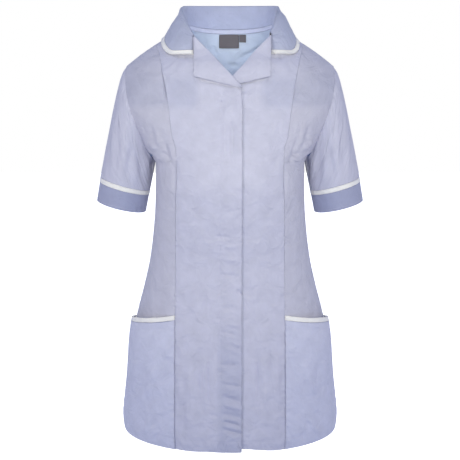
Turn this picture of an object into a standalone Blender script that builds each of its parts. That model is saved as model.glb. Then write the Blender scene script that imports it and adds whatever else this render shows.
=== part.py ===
"""Zip-front tunic: a short-sleeved healthcare tunic, filled out with no wearer.

Metres, +Z up. +X is the wearer's left, and the front faces -Y. The origin is on the wearer's
shoulders, midway between them, where the garment is held up. Every piece of cloth is a wall of
even thickness along a surface worked out from the tables below. Pieces lie SEAM_GAP apart.
"""
import math

import bpy
import numpy as np

# Driving dimensions
CLOTH = 0.0014
SEAM_GAP = 0.0003
BRAID = 0.0018
BRAID_WIDTH = 0.008
ARCH = 0.070

NECK_HALF = 0.0765
SHOULDER_BASE_X = 0.070
SHOULDER_BASE_Z = 0.0237
SHOULDER_SLOPE = 0.46
SIDE_FRONT_START = 0.128
SHOULDER_DROOP = 3.44
SHOULDER_POWER = 2.43
FRONT_NECK_RISE = 1.6
BACK_NECK_RISE = 0.9
NAPE_Z = 0.0138

YOKE_Z = -0.0955
UNDERARM_Z = -0.2136
HEM_Z = -0.7185
LEFT_FRONT_SHORTER = 0.0058
FLY_EDGE_X = 0.0207
LEFT_EDGE_X = 0.0065

COLLAR_ROLL = 0.0020
COLLAR_CLEAR = 0.0036
COLLAR_BOW = 0.0016
STAND_POINTS = 12
LONG_STEP = 0.011
CORNER_STEP = 0.0042
REVERS_LIFT = 0.0032
REVERS_CLOTH = 0.0012
REVERS_START = 0.0005
GORGE_STEP = 0.004
NECK_BAND_WIDTH = 0.0083

# The placket stands out over the zip and its slider, and the under front lies below it.
FLY_HALF_WIDTH = 0.0098
ZIP_RIDGE = 0.0009
SLIDER_RIDGE = 0.0027
UNDER_DEPTH = 0.0017
TUCK_DEPTH = 0.0027

CUFF_HEIGHT = 0.0420
ZIP_TOP_Z = -0.0990
ZIP_BOTTOM_Z = -0.600
TAPE_THICKNESS = 0.0010
CHAIN_HALF_WIDTH = 0.0030
CHAIN_HALF_THICKNESS = 0.0009
ZIP_DEPTH = -0.0032
TAPE_INNER_X = 0.0033
TAPE_OUTER_X = 0.0165
PULL_LENGTH = 0.020
HINGE_OUT = -0.00045
HINGE_UP = -0.0058


def table(columns, rows):
    """A dictionary of one array for each named column."""
    return dict(zip(columns, np.array(rows, float).T))


# Level sections of the body. Above the underarm the half width is that of the whole section,
# which the armhole cuts off.
TORSO = table(("height", "half_width", "front_depth", "back_depth", "roundness"), (
    (-0.7250, 0.2043, 0.1405, 0.1348, 2.05),
    (-0.6800, 0.2006, 0.1365, 0.1325, 2.09),
    (-0.6200, 0.1930, 0.1310, 0.1290, 2.17),
    (-0.5600, 0.1845, 0.1250, 0.1230, 2.27),
    (-0.5200, 0.1776, 0.1205, 0.1160, 2.33),
    (-0.4880, 0.1701, 0.1165, 0.1080, 2.37),
    (-0.4420, 0.1579, 0.1110, 0.0960, 2.40),
    (-0.3960, 0.1473, 0.1085, 0.0910, 2.40),
    (-0.3450, 0.1399, 0.1160, 0.0935, 2.40),
    (-0.2900, 0.1351, 0.1290, 0.1000, 2.40),
    (-0.2400, 0.1336, 0.1400, 0.1070, 2.40),
    (-0.2136, 0.1335, 0.1393, 0.1082, 2.40),
    (-0.2045, 0.1425, 0.1380, 0.1085, 2.25),
    (-0.1900, 0.1520, 0.1348, 0.1082, 2.12),
    (-0.1700, 0.1635, 0.1285, 0.1072, 2.10),
    (-0.1530, 0.1735, 0.1222, 0.1056, 2.17),
    (-0.1300, 0.1855, 0.1130, 0.1020, 2.34),
    (-0.1100, 0.1925, 0.1065, 0.0980, 2.40),
    (-0.0830, 0.1960, 0.0980, 0.0920, 2.40),
    (-0.0500, 0.2000, 0.0870, 0.0870, 2.40),
    (-0.0150, 0.2040, 0.0680, 0.0825, 2.40),
    (0.0100, 0.2055, 0.0655, 0.0795, 2.40),
    (0.0300, 0.2060, 0.0600, 0.0780, 2.40),
))

# Where the princess seam and the armhole lie, seen from the front.
PRINCESS = table(("height", "x"), (
    (-0.7250, 0.0980), (-0.4800, 0.0962), (-0.3400, 0.0940), (-0.2700, 0.0918), (-0.2150, 0.0905),
    (-0.1860, 0.0915), (-0.1640, 0.0975), (-0.1380, 0.1010), (-0.1100, 0.1050), (-0.0830, 0.1090),
    (-0.0350, 0.1200), (-0.0070, 0.1290), (0.0300, 0.1360),
))
ARMHOLE = table(("height", "x"), (
    (-0.2136, 0.1335), (-0.2110, 0.1361), (-0.2045, 0.1412), (-0.1904, 0.1483), (-0.1703, 0.1557),
    (-0.1526, 0.1619), (-0.1300, 0.1702), (-0.1097, 0.1761), (-0.0875, 0.1810), (-0.0650, 0.1832),
    (-0.0440, 0.1840),
))

# The levels that every panel shares below the yoke level, so that seams meet point to point.
ARMHOLE_LEVELS = (-0.117, -0.138, -0.157, -0.174, -0.187, -0.197, -0.2045, -0.2105, UNDERARM_Z)
SKIRT_LEVELS = (-0.256, -0.300, -0.345, -0.392, -0.440, -0.490, -0.545, -0.595, -0.640, -0.682)
YOKE_STEPS = (0.0, 0.045, 0.16, 0.34, 0.54, 0.76)

# The broad soft folds of the skirt: where each starts and ends, its half width and its depth.
# Side -1 is the front and 1 the back, and a depth below zero is a trough.
FOLDS = table(("side", "x_top", "z_top", "x_low", "z_low", "half_width", "depth"), (
    (-1, -0.060, -0.44, -0.070, -0.73, 0.022, 0.0022),
    (-1, -0.036, -0.46, -0.042, -0.73, 0.016, -0.0018),
    (-1, 0.062, -0.42, 0.074, -0.73, 0.022, 0.0022),
    (-1, 0.088, -0.15, 0.078, -0.27, 0.016, -0.0020),
    (-1, -0.088, -0.15, -0.078, -0.27, 0.016, -0.0020),
    (1, -0.090, -0.40, -0.115, -0.73, 0.030, 0.0045),
    (1, -0.045, -0.38, -0.060, -0.73, 0.026, -0.0040),
    (1, 0.000, -0.36, 0.004, -0.73, 0.028, 0.0045),
    (1, 0.050, -0.38, 0.066, -0.73, 0.026, -0.0040),
    (1, 0.092, -0.40, 0.120, -0.73, 0.030, 0.0045),
))

# The turned lapels. Lengths are seen from the front: the roll line runs from the gorge to the
# break, and the free edge from the gorge down to the corner and across to the tip.
REVERS_RIGHT = {
    "gorge_x": -0.0618, "gorge_z": 0.0015, "break_x": 0.0185, "break_z": -0.0825,
    "corner_x": -0.0602, "corner_z": -0.0652, "tip_x": 0.0150, "tip_z": -0.0826,
}
REVERS_LEFT = {
    "gorge_x": 0.0693, "gorge_z": 0.0030, "break_x": -0.0052, "break_z": -0.0755,
    "corner_x": 0.0680, "corner_z": -0.0652, "tip_x": -0.0020, "tip_z": -0.0790,
}

# How far a lapel stands off the front, from its roll line (share 0) to its free edge (share 1),
# and where its columns lie along the roll line.
REVERS_RISE = table(("share", "lift"), (
    (0.22, 0.0033), (0.45, 0.0034), (0.68, 0.0032), (0.86, 0.0030), (1.0, 0.0028),
))
REVERS_CORNER = 0.46
REVERS_SHARES = np.array((0.010, 0.12, 0.24, 0.36, REVERS_CORNER, 0.58, 0.70, 0.82, 0.91, 1.0))
ROLL_TURNS = np.radians((0, 55, 125, 180))

# The collar from the centre of the back (along 0) to its front edge (along 1): where its fold and
# its lower edge lie. An edge that would lie in the body is moved out to COLLAR_CLEAR from it.
COLLAR = table(("along", "fold_x", "fold_y", "fold_z", "edge_x", "edge_y", "edge_z"), (
    (0.00, 0.0000, 0.0865, 0.0650, 0.0000, 0.0940, -0.0050),
    (0.20, 0.0330, 0.0850, 0.0649, 0.0370, 0.0915, -0.0050),
    (0.38, 0.0600, 0.0760, 0.0643, 0.0715, 0.0770, -0.0045),
    (0.50, 0.0795, 0.0560, 0.0628, 0.0980, 0.0530, -0.0020),
    (0.60, 0.0865, 0.0320, 0.0600, 0.1135, 0.0280, 0.0008),
    (0.70, 0.0848, 0.0060, 0.0536, 0.1185, 0.0030, 0.0010),
    (0.79, 0.0797, -0.0195, 0.0425, 0.1180, -0.0270, -0.0095),
    (0.87, 0.0735, -0.0385, 0.0272, 0.1135, -0.0465, -0.0195),
    (0.94, 0.0675, -0.0508, 0.0148, 0.1015, -0.0620, -0.0275),
    (1.00, 0.0622, -0.0602, 0.0052, 0.0620, -0.0745, -0.0285),
))
LEFT_FOLD_SHIFT = np.array((0.0069, 0.0068, 0.0046))
LEFT_EDGE_SHIFT = np.array((0.0073, 0.0045, 0.0))

# Rings of the sleeve between the armhole (along 0) and its braid (along 1): how far the cap
# swells outwards, forwards and backwards from the straight line between the two.
SLEEVE = table(("along", "outward", "sideways"), (
    (0.00, 0.0000, 0.0000), (0.07, 0.0038, 0.0010), (0.14, 0.0050, 0.0018), (0.25, 0.0053, 0.0028),
    (0.40, 0.0048, 0.0034), (0.56, 0.0035, 0.0034), (0.72, 0.0025, 0.0028), (0.87, 0.0011, 0.0014),
    (1.00, 0.0000, 0.0000),
))
CAP_RISE = 0.35
UNDERARM_FLARE = 0.0021
SLEEVE_END_OUTER = (0.2353, -0.2428)
SLEEVE_END_INNER = (0.1471, -0.2680)
CUFF_END_OUTER = (0.2426, -0.2856)
CUFF_END_INNER = (0.1556, -0.3074)
CUFF_HALF_DEPTH = 0.0525

POCKET_MOUTH_INNER_Z = -0.4775
POCKET_MOUTH_OUTER_Z = -0.5065
POCKET_BULGE = 0.0115
POCKET_LIFT = 0.0019
POCKET_SIDE_STAND = 0.0008
POCKET_SECOND_ROW = 0.021

# Neck label and size tab: the x of both sides, the length and the number of columns.
LABELS = (("neck_label", -0.0202, 0.0166, 0.0242, 5), ("size_tab", 0.0176, 0.0302, 0.0132, 3))
LABEL_LIFT = -0.0021
LABEL_DROOP = 0.0022
LABEL_CLOTH = 0.0010

# Colours of the finishes
PALE_BLUE = (0.565, 0.590, 0.760)
CUFF_BLUE = (0.380, 0.410, 0.600)
COLLAR_BLUE = (0.430, 0.470, 0.660)
BAND_BLUE = (0.560, 0.600, 0.780)
POCKET_BLUE = (0.470, 0.520, 0.730)
BRAID_WHITE = (0.780, 0.770, 0.810)
LABEL_GREY = (0.225, 0.205, 0.220)
TAPE_BLUE = (0.500, 0.530, 0.700)
ZIP_NYLON = (0.620, 0.640, 0.740)
ZIP_METAL = (0.560, 0.560, 0.570)


def smooth(rows, name, at, key="height"):
    """A named column at the places `at`: cubic pieces between the rows, which add no waves."""
    x, y = rows[key], rows[name]
    step = np.diff(x)
    slope = np.diff(y) / step
    same_way = slope[1:] * slope[:-1] > 0
    weight_a = 2 * step[1:] + step[:-1]
    weight_b = step[1:] + 2 * step[:-1]
    with np.errstate(divide="ignore", invalid="ignore"):
        mean = (weight_a + weight_b) / (weight_a / slope[:-1] + weight_b / slope[1:])
    tangent = np.concatenate(([slope[0]], np.where(same_way, mean, 0.0), [slope[-1]]))
    at = np.clip(at, x[0], x[-1])
    i = np.clip(np.searchsorted(x, at) - 1, 0, len(x) - 2)
    t = (at - x[i]) / step[i]
    return ((1 + 2 * t) * (1 - t) ** 2 * y[i] + t * (1 - t) ** 2 * step[i] * tangent[i]
            + t ** 2 * (3 - 2 * t) * y[i + 1] + t ** 2 * (t - 1) * step[i] * tangent[i + 1])


def ramp(value, start, end):
    """0 before start, 1 after end, and an even rise between with no corners."""
    t = np.clip((value - start) / (end - start), 0.0, 1.0)
    return t * t * (3 - 2 * t)


def shoulder_z(x, side):
    """Height of the shoulder seam at x. Inside the neck it goes on rising, to shape the neck's edge."""
    out = np.maximum(np.abs(x), NECK_HALF) - SHOULDER_BASE_X
    inside = np.maximum(NECK_HALF - np.abs(x), 0.0)
    rise = FRONT_NECK_RISE if side < 0 else BACK_NECK_RISE
    return SHOULDER_BASE_Z - SHOULDER_SLOPE * out - SHOULDER_DROOP * out ** SHOULDER_POWER + rise * inside


def section(z, side):
    """Half width, depth and roundness of the level section at height z."""
    depth = "front_depth" if side < 0 else "back_depth"
    return (smooth(TORSO, name, z) for name in ("half_width", depth, "roundness"))


def body_y(x, z, side):
    """Depth of the garment's surface: a rounded section, drawn in to the seam along the shoulder."""
    half, deep, power = section(z, side)
    flat = (1 - np.clip(np.abs(x) / half, 0, 1) ** power) ** (1 / power)
    below = np.clip((shoulder_z(x, side) - z) / ARCH, 0.0, 1.0)
    arch = np.sqrt(1 - (1 - below) ** 2)
    return side * deep * flat * arch


def bearing(x, z, side):
    """Angle round the section, from the centre of the front or back, of the place at x."""
    half, deep, power = section(z, side)
    flat = (1 - np.clip(np.abs(x) / half, 0, 1) ** power) ** (1 / power)
    return np.arctan2(x, deep * flat)


def across(angle, z, side):
    """The x of a bearing on the section at height z."""
    half, deep, power = section(z, side)
    radius = np.abs(np.sin(angle) / half) ** power + np.abs(np.cos(angle) / deep) ** power
    return np.sin(angle) * radius ** (-1 / power)


def relief(x, z, side):
    """How far the broad folds lift the cloth: soft ridges, each along a slanting line."""
    lift = np.zeros(np.broadcast(x, z).shape)
    for i in range(len(FOLDS["side"])):
        if FOLDS["side"][i] != side:
            continue
        fold = {name: column[i] for name, column in FOLDS.items()}
        along = (fold["z_top"] - z) / (fold["z_top"] - fold["z_low"])
        centre = fold["x_top"] + (fold["x_low"] - fold["x_top"]) * along
        width = fold["half_width"] * (0.6 + 0.5 * np.clip(along, 0, 1.2))
        length = ramp(along, 0.0, 0.6)
        if fold["z_low"] > HEM_Z:
            length = ramp(along, 0.0, 0.4) * ramp(1 - along, 0.0, 0.4)
        lift = lift + fold["depth"] * length * np.exp(-((x - centre) / width) ** 2)
    return lift


def unit(vectors):
    """The vectors, each with a length of 1."""
    return vectors / np.maximum(np.linalg.norm(vectors, axis=-1, keepdims=True), 1e-12)


def surface_normal(x, z, side):
    """The direction out of the garment at (x, z), from small steps to each side."""
    h = 1e-4
    slope_x = (body_y(x + h, z, side) - body_y(x - h, z, side)) / (2 * h)
    slope_z = (body_y(x, z + h, side) - body_y(x, z - h, side)) / (2 * h)
    return unit(np.stack([-side * slope_x, side * np.ones_like(slope_x), -side * slope_z], axis=-1))


def on_body(x, z, side, lift=0.0):
    """A place on the garment's surface, moved out along its normal."""
    x, z, lift = np.broadcast_arrays(np.asarray(x, float), np.asarray(z, float), lift)
    base = np.stack([x, body_y(x, z, side), z], axis=-1)
    return base + surface_normal(x, z, side) * lift[..., None]


class Sheet:
    """A piece of cloth as a grid of points with a direction out of the cloth at each."""

    def __init__(self, points, normals, wrap=False):
        self.points = points
        self.normals = normals
        self.wrap = wrap

    def trim(self, start_column=0.0, end_column=0.0, start_row=0.0, end_row=0.0):
        """Cut each edge back by a length, towards its neighbours."""
        p = self.points
        for amount, edge, inner in ((start_column, (0, slice(None)), (1, slice(None))),
                                    (end_column, (-1, slice(None)), (-2, slice(None))),
                                    (start_row, (slice(None), 0), (slice(None), 1)),
                                    (end_row, (slice(None), -1), (slice(None), -2))):
            if amount:
                p[edge] = p[edge] + unit(p[inner] - p[edge]) * amount
        return self

    def moved(self, lift):
        """The same sheet, moved out along its normals."""
        lift = np.broadcast_to(lift, self.points.shape[:2])
        return Sheet(self.points + self.normals * lift[..., None], self.normals.copy(), self.wrap)


def grid_normals(points, out, wrap=False):
    """Normals of a grid from its own points, turned to the side that `out` points to."""
    def steps(axis, closed):
        if closed:
            return np.roll(points, -1, axis) - np.roll(points, 1, axis)
        return np.gradient(points, axis=axis)
    n = unit(np.cross(steps(0, wrap), steps(1, False)))
    flip = np.sign(np.sum(n * out, axis=-1, keepdims=True))
    return n * np.where(flip == 0, 1, flip)


def material(name, colour, roughness=0.85, metallic=0.0):
    """A plain finish."""
    finish = bpy.data.materials.get(name)
    if finish is None:
        finish = bpy.data.materials.new(name)
        finish.use_nodes = True
        shader = finish.node_tree.nodes["Principled BSDF"]
        shader.inputs["Base Color"].default_value = (*colour, 1.0)
        shader.inputs["Roughness"].default_value = roughness
        shader.inputs["Metallic"].default_value = metallic
    return finish


def add_object(name, vertices, faces, finish):
    """A named object from points and faces, turned so that its faces point outwards."""
    mesh = bpy.data.meshes.new(name)
    mesh.from_pydata([tuple(v) for v in vertices], [], [tuple(f) for f in faces])
    v = np.array(vertices)
    volume = 0.0
    for face in faces:
        for i in range(1, len(face) - 1):
            volume += np.dot(v[face[0]], np.cross(v[face[i]], v[face[i + 1]]))
    if volume < 0:
        mesh.flip_normals()
    mesh.materials.append(finish)
    mesh.shade_smooth()
    mesh.set_sharp_from_angle(angle=math.radians(50))
    mesh.update()
    thing = bpy.data.objects.new(name, mesh)
    bpy.context.scene.collection.objects.link(thing)
    return thing


def cloth(name, sheet, finish, thickness=CLOTH):
    """A wall of even thickness along a sheet: an outer and an inner layer with closed borders."""
    columns, rows = sheet.points.shape[:2]
    half = sheet.normals * (thickness / 2)
    outer = (sheet.points + half).reshape(-1, 3)
    inner = (sheet.points - half).reshape(-1, 3)
    count = columns * rows
    spans = columns if sheet.wrap else columns - 1
    faces = []
    for i in range(spans):
        n = (i + 1) % columns
        for j in range(rows - 1):
            a, b, c, d = i * rows + j, n * rows + j, n * rows + j + 1, i * rows + j + 1
            faces.append((a, b, c, d))
            faces.append((count + d, count + c, count + b, count + a))
        for j, flip in ((0, False), (rows - 1, True)):
            a, b = i * rows + j, n * rows + j
            side = (b, a, count + a, count + b)
            faces.append(side[::-1] if flip else side)
    if not sheet.wrap:
        for i, flip in ((0, True), (columns - 1, False)):
            for j in range(rows - 1):
                a, b = i * rows + j, i * rows + j + 1
                side = (b, a, count + a, count + b)
                faces.append(side[::-1] if flip else side)
    return add_object(name, np.concatenate([outer, inner]), faces, finish)


def princess_x(z):
    return smooth(PRINCESS, "x", z)


def side_x(z):
    """The armhole's x above the underarm, and the side seam's below it."""
    return np.where(z > UNDERARM_Z, smooth(ARMHOLE, "x", z), smooth(TORSO, "half_width", z))


NECK_POINT_Z = float(shoulder_z(NECK_HALF, -1))


def nape_edge(x):
    """Height of the back's upper edge between the neck points."""
    return NAPE_Z + (NECK_POINT_Z - NAPE_Z) * (np.minimum(np.abs(x), NECK_HALF) / NECK_HALF) ** 3


def front_top(x, cut, mirror):
    """Upper edge of a front: the shoulder seam, the neck seam down to the gorge, then the roll line."""
    x = np.asarray(x) * mirror
    gorge, last = cut["gorge_x"] * mirror, cut["break_x"] * mirror
    roll = cut["gorge_z"] + (cut["break_z"] - cut["gorge_z"]) * (x - gorge) / (last - gorge)
    neck = NECK_POINT_Z + (cut["gorge_z"] - NECK_POINT_Z) * (-NECK_HALF - x) / (-NECK_HALF - gorge)
    return np.where(x < -NECK_HALF, shoulder_z(x, -1), np.where(x < gorge, neck, roll))


def settle_top(edge, place, columns):
    """The height at which each column of a panel meets its upper edge, by repeated halving."""
    low = np.full(columns, YOKE_Z)
    high = np.full(columns, 0.030)
    for _ in range(48):
        middle = (low + high) / 2
        under = edge(place(middle)) > middle
        low = np.where(under, middle, low)
        high = np.where(under, high, middle)
    return low


def panel(side, place, columns, top, hem):
    """A panel of the body. `place` gives the x of every column at a height.

    Each column starts at the upper edge, has YOKE_STEPS down to the yoke level, and then the
    levels that all panels share.
    """
    z_top = settle_top(top, place, columns)
    rows = [z_top + (YOKE_Z - z_top) * step for step in YOKE_STEPS]
    for level in (YOKE_Z,) + ARMHOLE_LEVELS + SKIRT_LEVELS:
        rows.append(np.full_like(z_top, level))
    rows.append(hem(place(np.full_like(z_top, HEM_Z))))
    z = np.stack(rows, axis=1)
    x = np.stack([place(row) for row in rows], axis=1)
    sheet = Sheet(on_body(x, z, side), surface_normal(x, z, side))
    return sheet.moved(relief(x, z, side))


def between(left, right, spread, side):
    """Columns that divide the bearing between two seams in the shares `spread`."""
    def place(z):
        low = bearing(left(z), z, side)
        high = bearing(right(z), z, side)
        return across(low + (high - low) * spread, z, side)
    return place


def beside_opening(start_x, mirror, top):
    """Columns that start at the given x on the upper edge. The outermost follows the princess
    seam, and those near the opening run straight down."""
    straight = 0.030
    follow = np.clip((start_x * mirror - straight) / (start_x[0] * mirror - straight), 0, 1)
    seam_start = princess_x(top(start_x))

    def place(z):
        return start_x - mirror * follow * (seam_start - princess_x(z))
    return place


def level_hem(x):
    return np.full_like(x, HEM_Z)


def left_front_hem(x):
    """The under front is a little shorter at its edge and level with the rest at the seam."""
    return HEM_Z + LEFT_FRONT_SHORTER * ramp(0.095 - x, 0.0, 0.070)


def fly_lift(x, z):
    """The placket stands out over the zip, and further over its slider."""
    over_zip = np.exp(-(np.abs(x) / FLY_HALF_WIDTH) ** 4)
    ridge = ZIP_RIDGE * ramp(-z, 0.100, 0.112) * ramp(z, -0.615, -0.590)
    slider = SLIDER_RIDGE * ramp(-z, 0.0835, 0.0945) * ramp(z, -0.142, -0.118)
    return over_zip * (ridge + slider)


def under_lift(x, z):
    """How far the under front lies below the placket: furthest where the other lapel tucks in."""
    base = -UNDER_DEPTH * ramp(0.050 - x, 0.0, 0.022)
    tuck = -TUCK_DEPTH * ramp(0.046 - x, 0.0, 0.022) * ramp(z, -0.0945, -0.0865)
    return base + tuck


def shoulder_seam_x():
    """Where the princess seam meets the shoulder seam."""
    x = SIDE_FRONT_START
    for _ in range(40):
        x = float(princess_x(shoulder_z(x, -1)))
    return x


SHOULDER_SEAM_X = shoulder_seam_x()
FRONT_START_X = np.array((
    -SHOULDER_SEAM_X, -0.110, -0.094, -0.0822, -NECK_HALF, -0.0755, -0.0725, -0.0678,
    REVERS_RIGHT["gorge_x"], -0.050, -0.038, -0.027, -0.0172, -0.0110, -0.0055, 0.0, 0.0055, 0.0110,
    FLY_EDGE_X,
))
UNDER_START_X = np.array((
    SHOULDER_SEAM_X, 0.111, 0.095, 0.083, NECK_HALF, 0.0759, 0.0745, 0.0722, REVERS_LEFT["gorge_x"],
    0.058, 0.046, 0.034, 0.022, 0.014, LEFT_EDGE_X,
))


def fronts():
    """The two fronts, meeting the side fronts at the princess seams."""
    def right_top(x):
        return front_top(x, REVERS_RIGHT, 1)

    def left_top(x):
        return front_top(x, REVERS_LEFT, -1)

    right_columns = beside_opening(FRONT_START_X, -1, right_top)
    left_columns = beside_opening(UNDER_START_X, 1, left_top)

    def right_place(z):
        x = right_columns(z)
        pull = REVERS_RIGHT["break_x"] - FLY_EDGE_X
        return x + pull * ramp(x, 0.011, FLY_EDGE_X) * ramp(z, -0.110, -0.0825)

    def left_place(z):
        x = left_columns(z)
        pull = REVERS_LEFT["break_x"] - LEFT_EDGE_X
        return x + pull * ramp(0.040 - x, 0.0, 0.040 - LEFT_EDGE_X) * ramp(z, -0.094, -0.0765)

    right = panel(-1, right_place, len(FRONT_START_X), right_top, level_hem)
    left = panel(-1, left_place, len(UNDER_START_X), left_top, left_front_hem)
    right = right.moved(fly_lift(right.points[..., 0], right.points[..., 2]))
    left = left.moved(under_lift(left.points[..., 0], left.points[..., 2]))
    return right, left


SIDE_SPREAD = np.linspace(0, 1, 8)
BACK_START_X = np.array((
    0.184, 0.160, 0.136, 0.112, 0.092, 0.0815, NECK_HALF, 0.0735, 0.068, 0.060, 0.048, 0.032, 0.016,
))


def side_front(mirror):
    """The panel between a princess seam and the armhole and side seam."""
    columns = between(princess_x, side_x, SIDE_SPREAD, -1)
    sheet = panel(-1, columns, len(SIDE_SPREAD), lambda x: shoulder_z(x, -1), level_hem)
    return mirrored(sheet, mirror)


def mirrored(sheet, mirror):
    """The sheet itself, or its image on the wearer's other side."""
    if mirror > 0:
        return sheet
    flip = np.array((-1.0, 1.0, 1.0))
    return Sheet((sheet.points * flip)[::-1], (sheet.normals * flip)[::-1], sheet.wrap)


def back_panel():
    """The back, in one piece from armhole to armhole."""
    def top(x):
        return np.where(np.abs(x) < NECK_HALF, nape_edge(x), shoulder_z(x, 1))
    z = top(BACK_START_X) - 1e-6
    share = bearing(BACK_START_X, z, 1) / bearing(side_x(z), z, 1)
    share[0] = 1.0
    spread = np.concatenate([-share, (0.0,), share[::-1]])
    columns = between(lambda z: 0.0 * z, side_x, spread, 1)
    return panel(1, columns, len(spread), top, level_hem)


def armhole_ring(front, back, count):
    """Points round the left armhole: down the front from the shoulder, up the back."""
    return np.concatenate([front.points[-1, :count], back.points[-1, count - 2:0:-1]])


def end_ring(outer, inner, share):
    """Points of a sleeve's level ring: an ellipse between an outer and an inner point."""
    outer, inner = (np.array((place[0], 0.0, place[1])) for place in (outer, inner))
    centre, radius = (outer + inner) / 2, (outer - inner) / 2
    angle = share * 2 * math.pi
    forward = np.array((0.0, -CUFF_HALF_DEPTH, 0.0))
    return centre + np.cos(angle)[:, None] * radius + np.sin(angle)[:, None] * forward


def ring_shares(ring, count):
    """Share of the way round for each point of the armhole, with the underarm at one half."""
    step = np.linalg.norm(np.roll(ring, -1, 0) - ring, axis=1)
    length = np.concatenate(([0.0], np.cumsum(step)))
    half = length[count - 1]
    front = length[:count] / half / 2
    back = 0.5 + (length[count:-1] - half) / (length[-1] - half) / 2
    return 0.35 * np.arange(len(ring)) / len(ring) + 0.65 * np.concatenate([front, back])


def sleeve_sheet(ring, count):
    """The left sleeve from the armhole to its braid, as rings between the two ends."""
    share = ring_shares(ring, count)
    end = end_ring(SLEEVE_END_OUTER, SLEEVE_END_INNER, share)
    angle = share * 2 * math.pi
    low = ramp(-ring[:, 2], 0.180, 0.2136)
    start = ring + np.array((UNDERARM_FLARE, 0.0, 0.0)) * low[:, None] + unit(end - ring) * (SEAM_GAP / 2)
    out_weight = np.clip(np.cos(angle), 0, 1) ** 0.8
    side_weight = np.sin(angle) ** 2
    side_sign = -np.sign(np.sin(angle))
    along = SLEEVE["along"]
    rings = []
    for t, outward, sideways in zip(along, SLEEVE["outward"], SLEEVE["sideways"]):
        place = start + (end - start) * t
        place[:, 0] += outward * out_weight
        place[:, 2] += CAP_RISE * outward * out_weight
        place[:, 1] += sideways * side_weight * side_sign
        rings.append(place)
    points = np.stack(rings, axis=1)
    axis_point = points.mean(axis=0, keepdims=True)
    own = grid_normals(points, points - axis_point, wrap=True)
    return Sheet(points, own, wrap=True)


def mitre(sleeve, front, back, count):
    """Share the normals where sleeve and body meet, so that their edges face each other squarely."""
    body = np.concatenate([front.normals[-1, :count], back.normals[-1, count - 2:0:-1]])
    own = sleeve.normals[:, 0]
    height = sleeve.points[:, 0, 2]
    keep = ramp(-height, 0.188, 0.2045)[:, None]
    shared = unit(body + own)
    sleeve.normals[:, 0] = unit(shared * (1 - keep) + own * keep)
    joined = unit(shared * (1 - keep) + body * keep)
    front.normals[-1, :count] = joined[:count]
    back.normals[-1, count - 2:0:-1] = joined[count:]
    back.normals[-1, 0] = joined[0]
    back.normals[-1, count - 1] = joined[count - 1]


def tube_between(start_ring, end_points, steps, gap_start, gap_end, lift=0.0):
    """A tube between two rings that ends a little short of each."""
    shares = np.linspace(0, 1, steps + 1)
    points = start_ring[:, None] + (end_points - start_ring)[:, None] * shares[None, :, None]
    out = points - points.mean(axis=0, keepdims=True)
    sheet = Sheet(points, grid_normals(points, out, wrap=True), wrap=True)
    return sheet.moved(lift).trim(start_row=gap_start, end_row=gap_end)


def neck_seam(cut, mirror):
    """The neck seam from the centre of the back over the shoulder to the gorge, drawn on the +X
    side: its points, which are where the panels' columns end, and the body's normals there."""
    x = np.concatenate(((0.0,), BACK_START_X[BACK_START_X <= NECK_HALF][::-1]))
    z = nape_edge(x)
    points, normals = on_body(x, z, 1), surface_normal(x, z, 1)
    columns = np.abs(FRONT_START_X if mirror > 0 else UNDER_START_X)
    x = columns[(columns < NECK_HALF) & (columns >= abs(cut["gorge_x"]))]
    z = front_top(-mirror * x, cut, mirror)
    points = np.concatenate([points, on_body(x, z, -1)])
    normals = np.concatenate([normals, surface_normal(x, z, -1)])
    return divide_steps(points, normals)


def divide_steps(points, normals):
    """Add points along each straight step, closer together at the collar's front corner."""
    made, out = [points[0]], [normals[0]]
    for i in range(1, len(points)):
        longest = CORNER_STEP if i > len(points) - 3 else LONG_STEP
        count = math.ceil(np.linalg.norm(points[i] - points[i - 1]) / longest)
        for share in np.arange(1, count + 1) / count:
            made.append(points[i - 1] + (points[i] - points[i - 1]) * share)
            out.append(unit(normals[i - 1] + (normals[i] - normals[i - 1]) * share))
    return np.array(made), np.array(out)


def distance_ratio(points):
    """Below 0 inside the body, 0 on its surface and above 0 outside it."""
    x, y, z = points[..., 0], points[..., 1], points[..., 2]
    ratio = []
    for side in (-1, 1):
        half, deep, power = section(z, side)
        flat = (1 - np.clip(np.abs(x) / half, 0, 0.999) ** power) ** (1 / power)
        up = 1 - np.minimum((shoulder_z(x, side) - z) / ARCH, 1.0)
        ratio.append(np.hypot(y / (deep * flat), up) - 1)
    return np.where(y < 0, ratio[0], ratio[1])


def away_from_body(points):
    """How far points lie outside the body, and the direction away from it."""
    step = 1e-4
    slope = []
    for axis in np.eye(3) * step:
        slope.append((distance_ratio(points + axis) - distance_ratio(points - axis)) / (2 * step))
    slope = np.stack(slope, axis=-1)
    steepness = np.maximum(np.linalg.norm(slope, axis=-1), 1e-6)
    return distance_ratio(points) / steepness, slope / steepness[..., None]


def stand_off(points, least):
    """Move points that lie closer to the body than `least` out to it, with a soft bend between."""
    soft = 0.0008
    distance, _ = away_from_body(points)
    wanted = least + soft * np.logaddexp(0.0, (distance - least) / soft)
    for _ in range(4):
        distance, direction = away_from_body(points)
        points = points + direction * (wanted - distance)[..., None]
    return points


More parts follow.
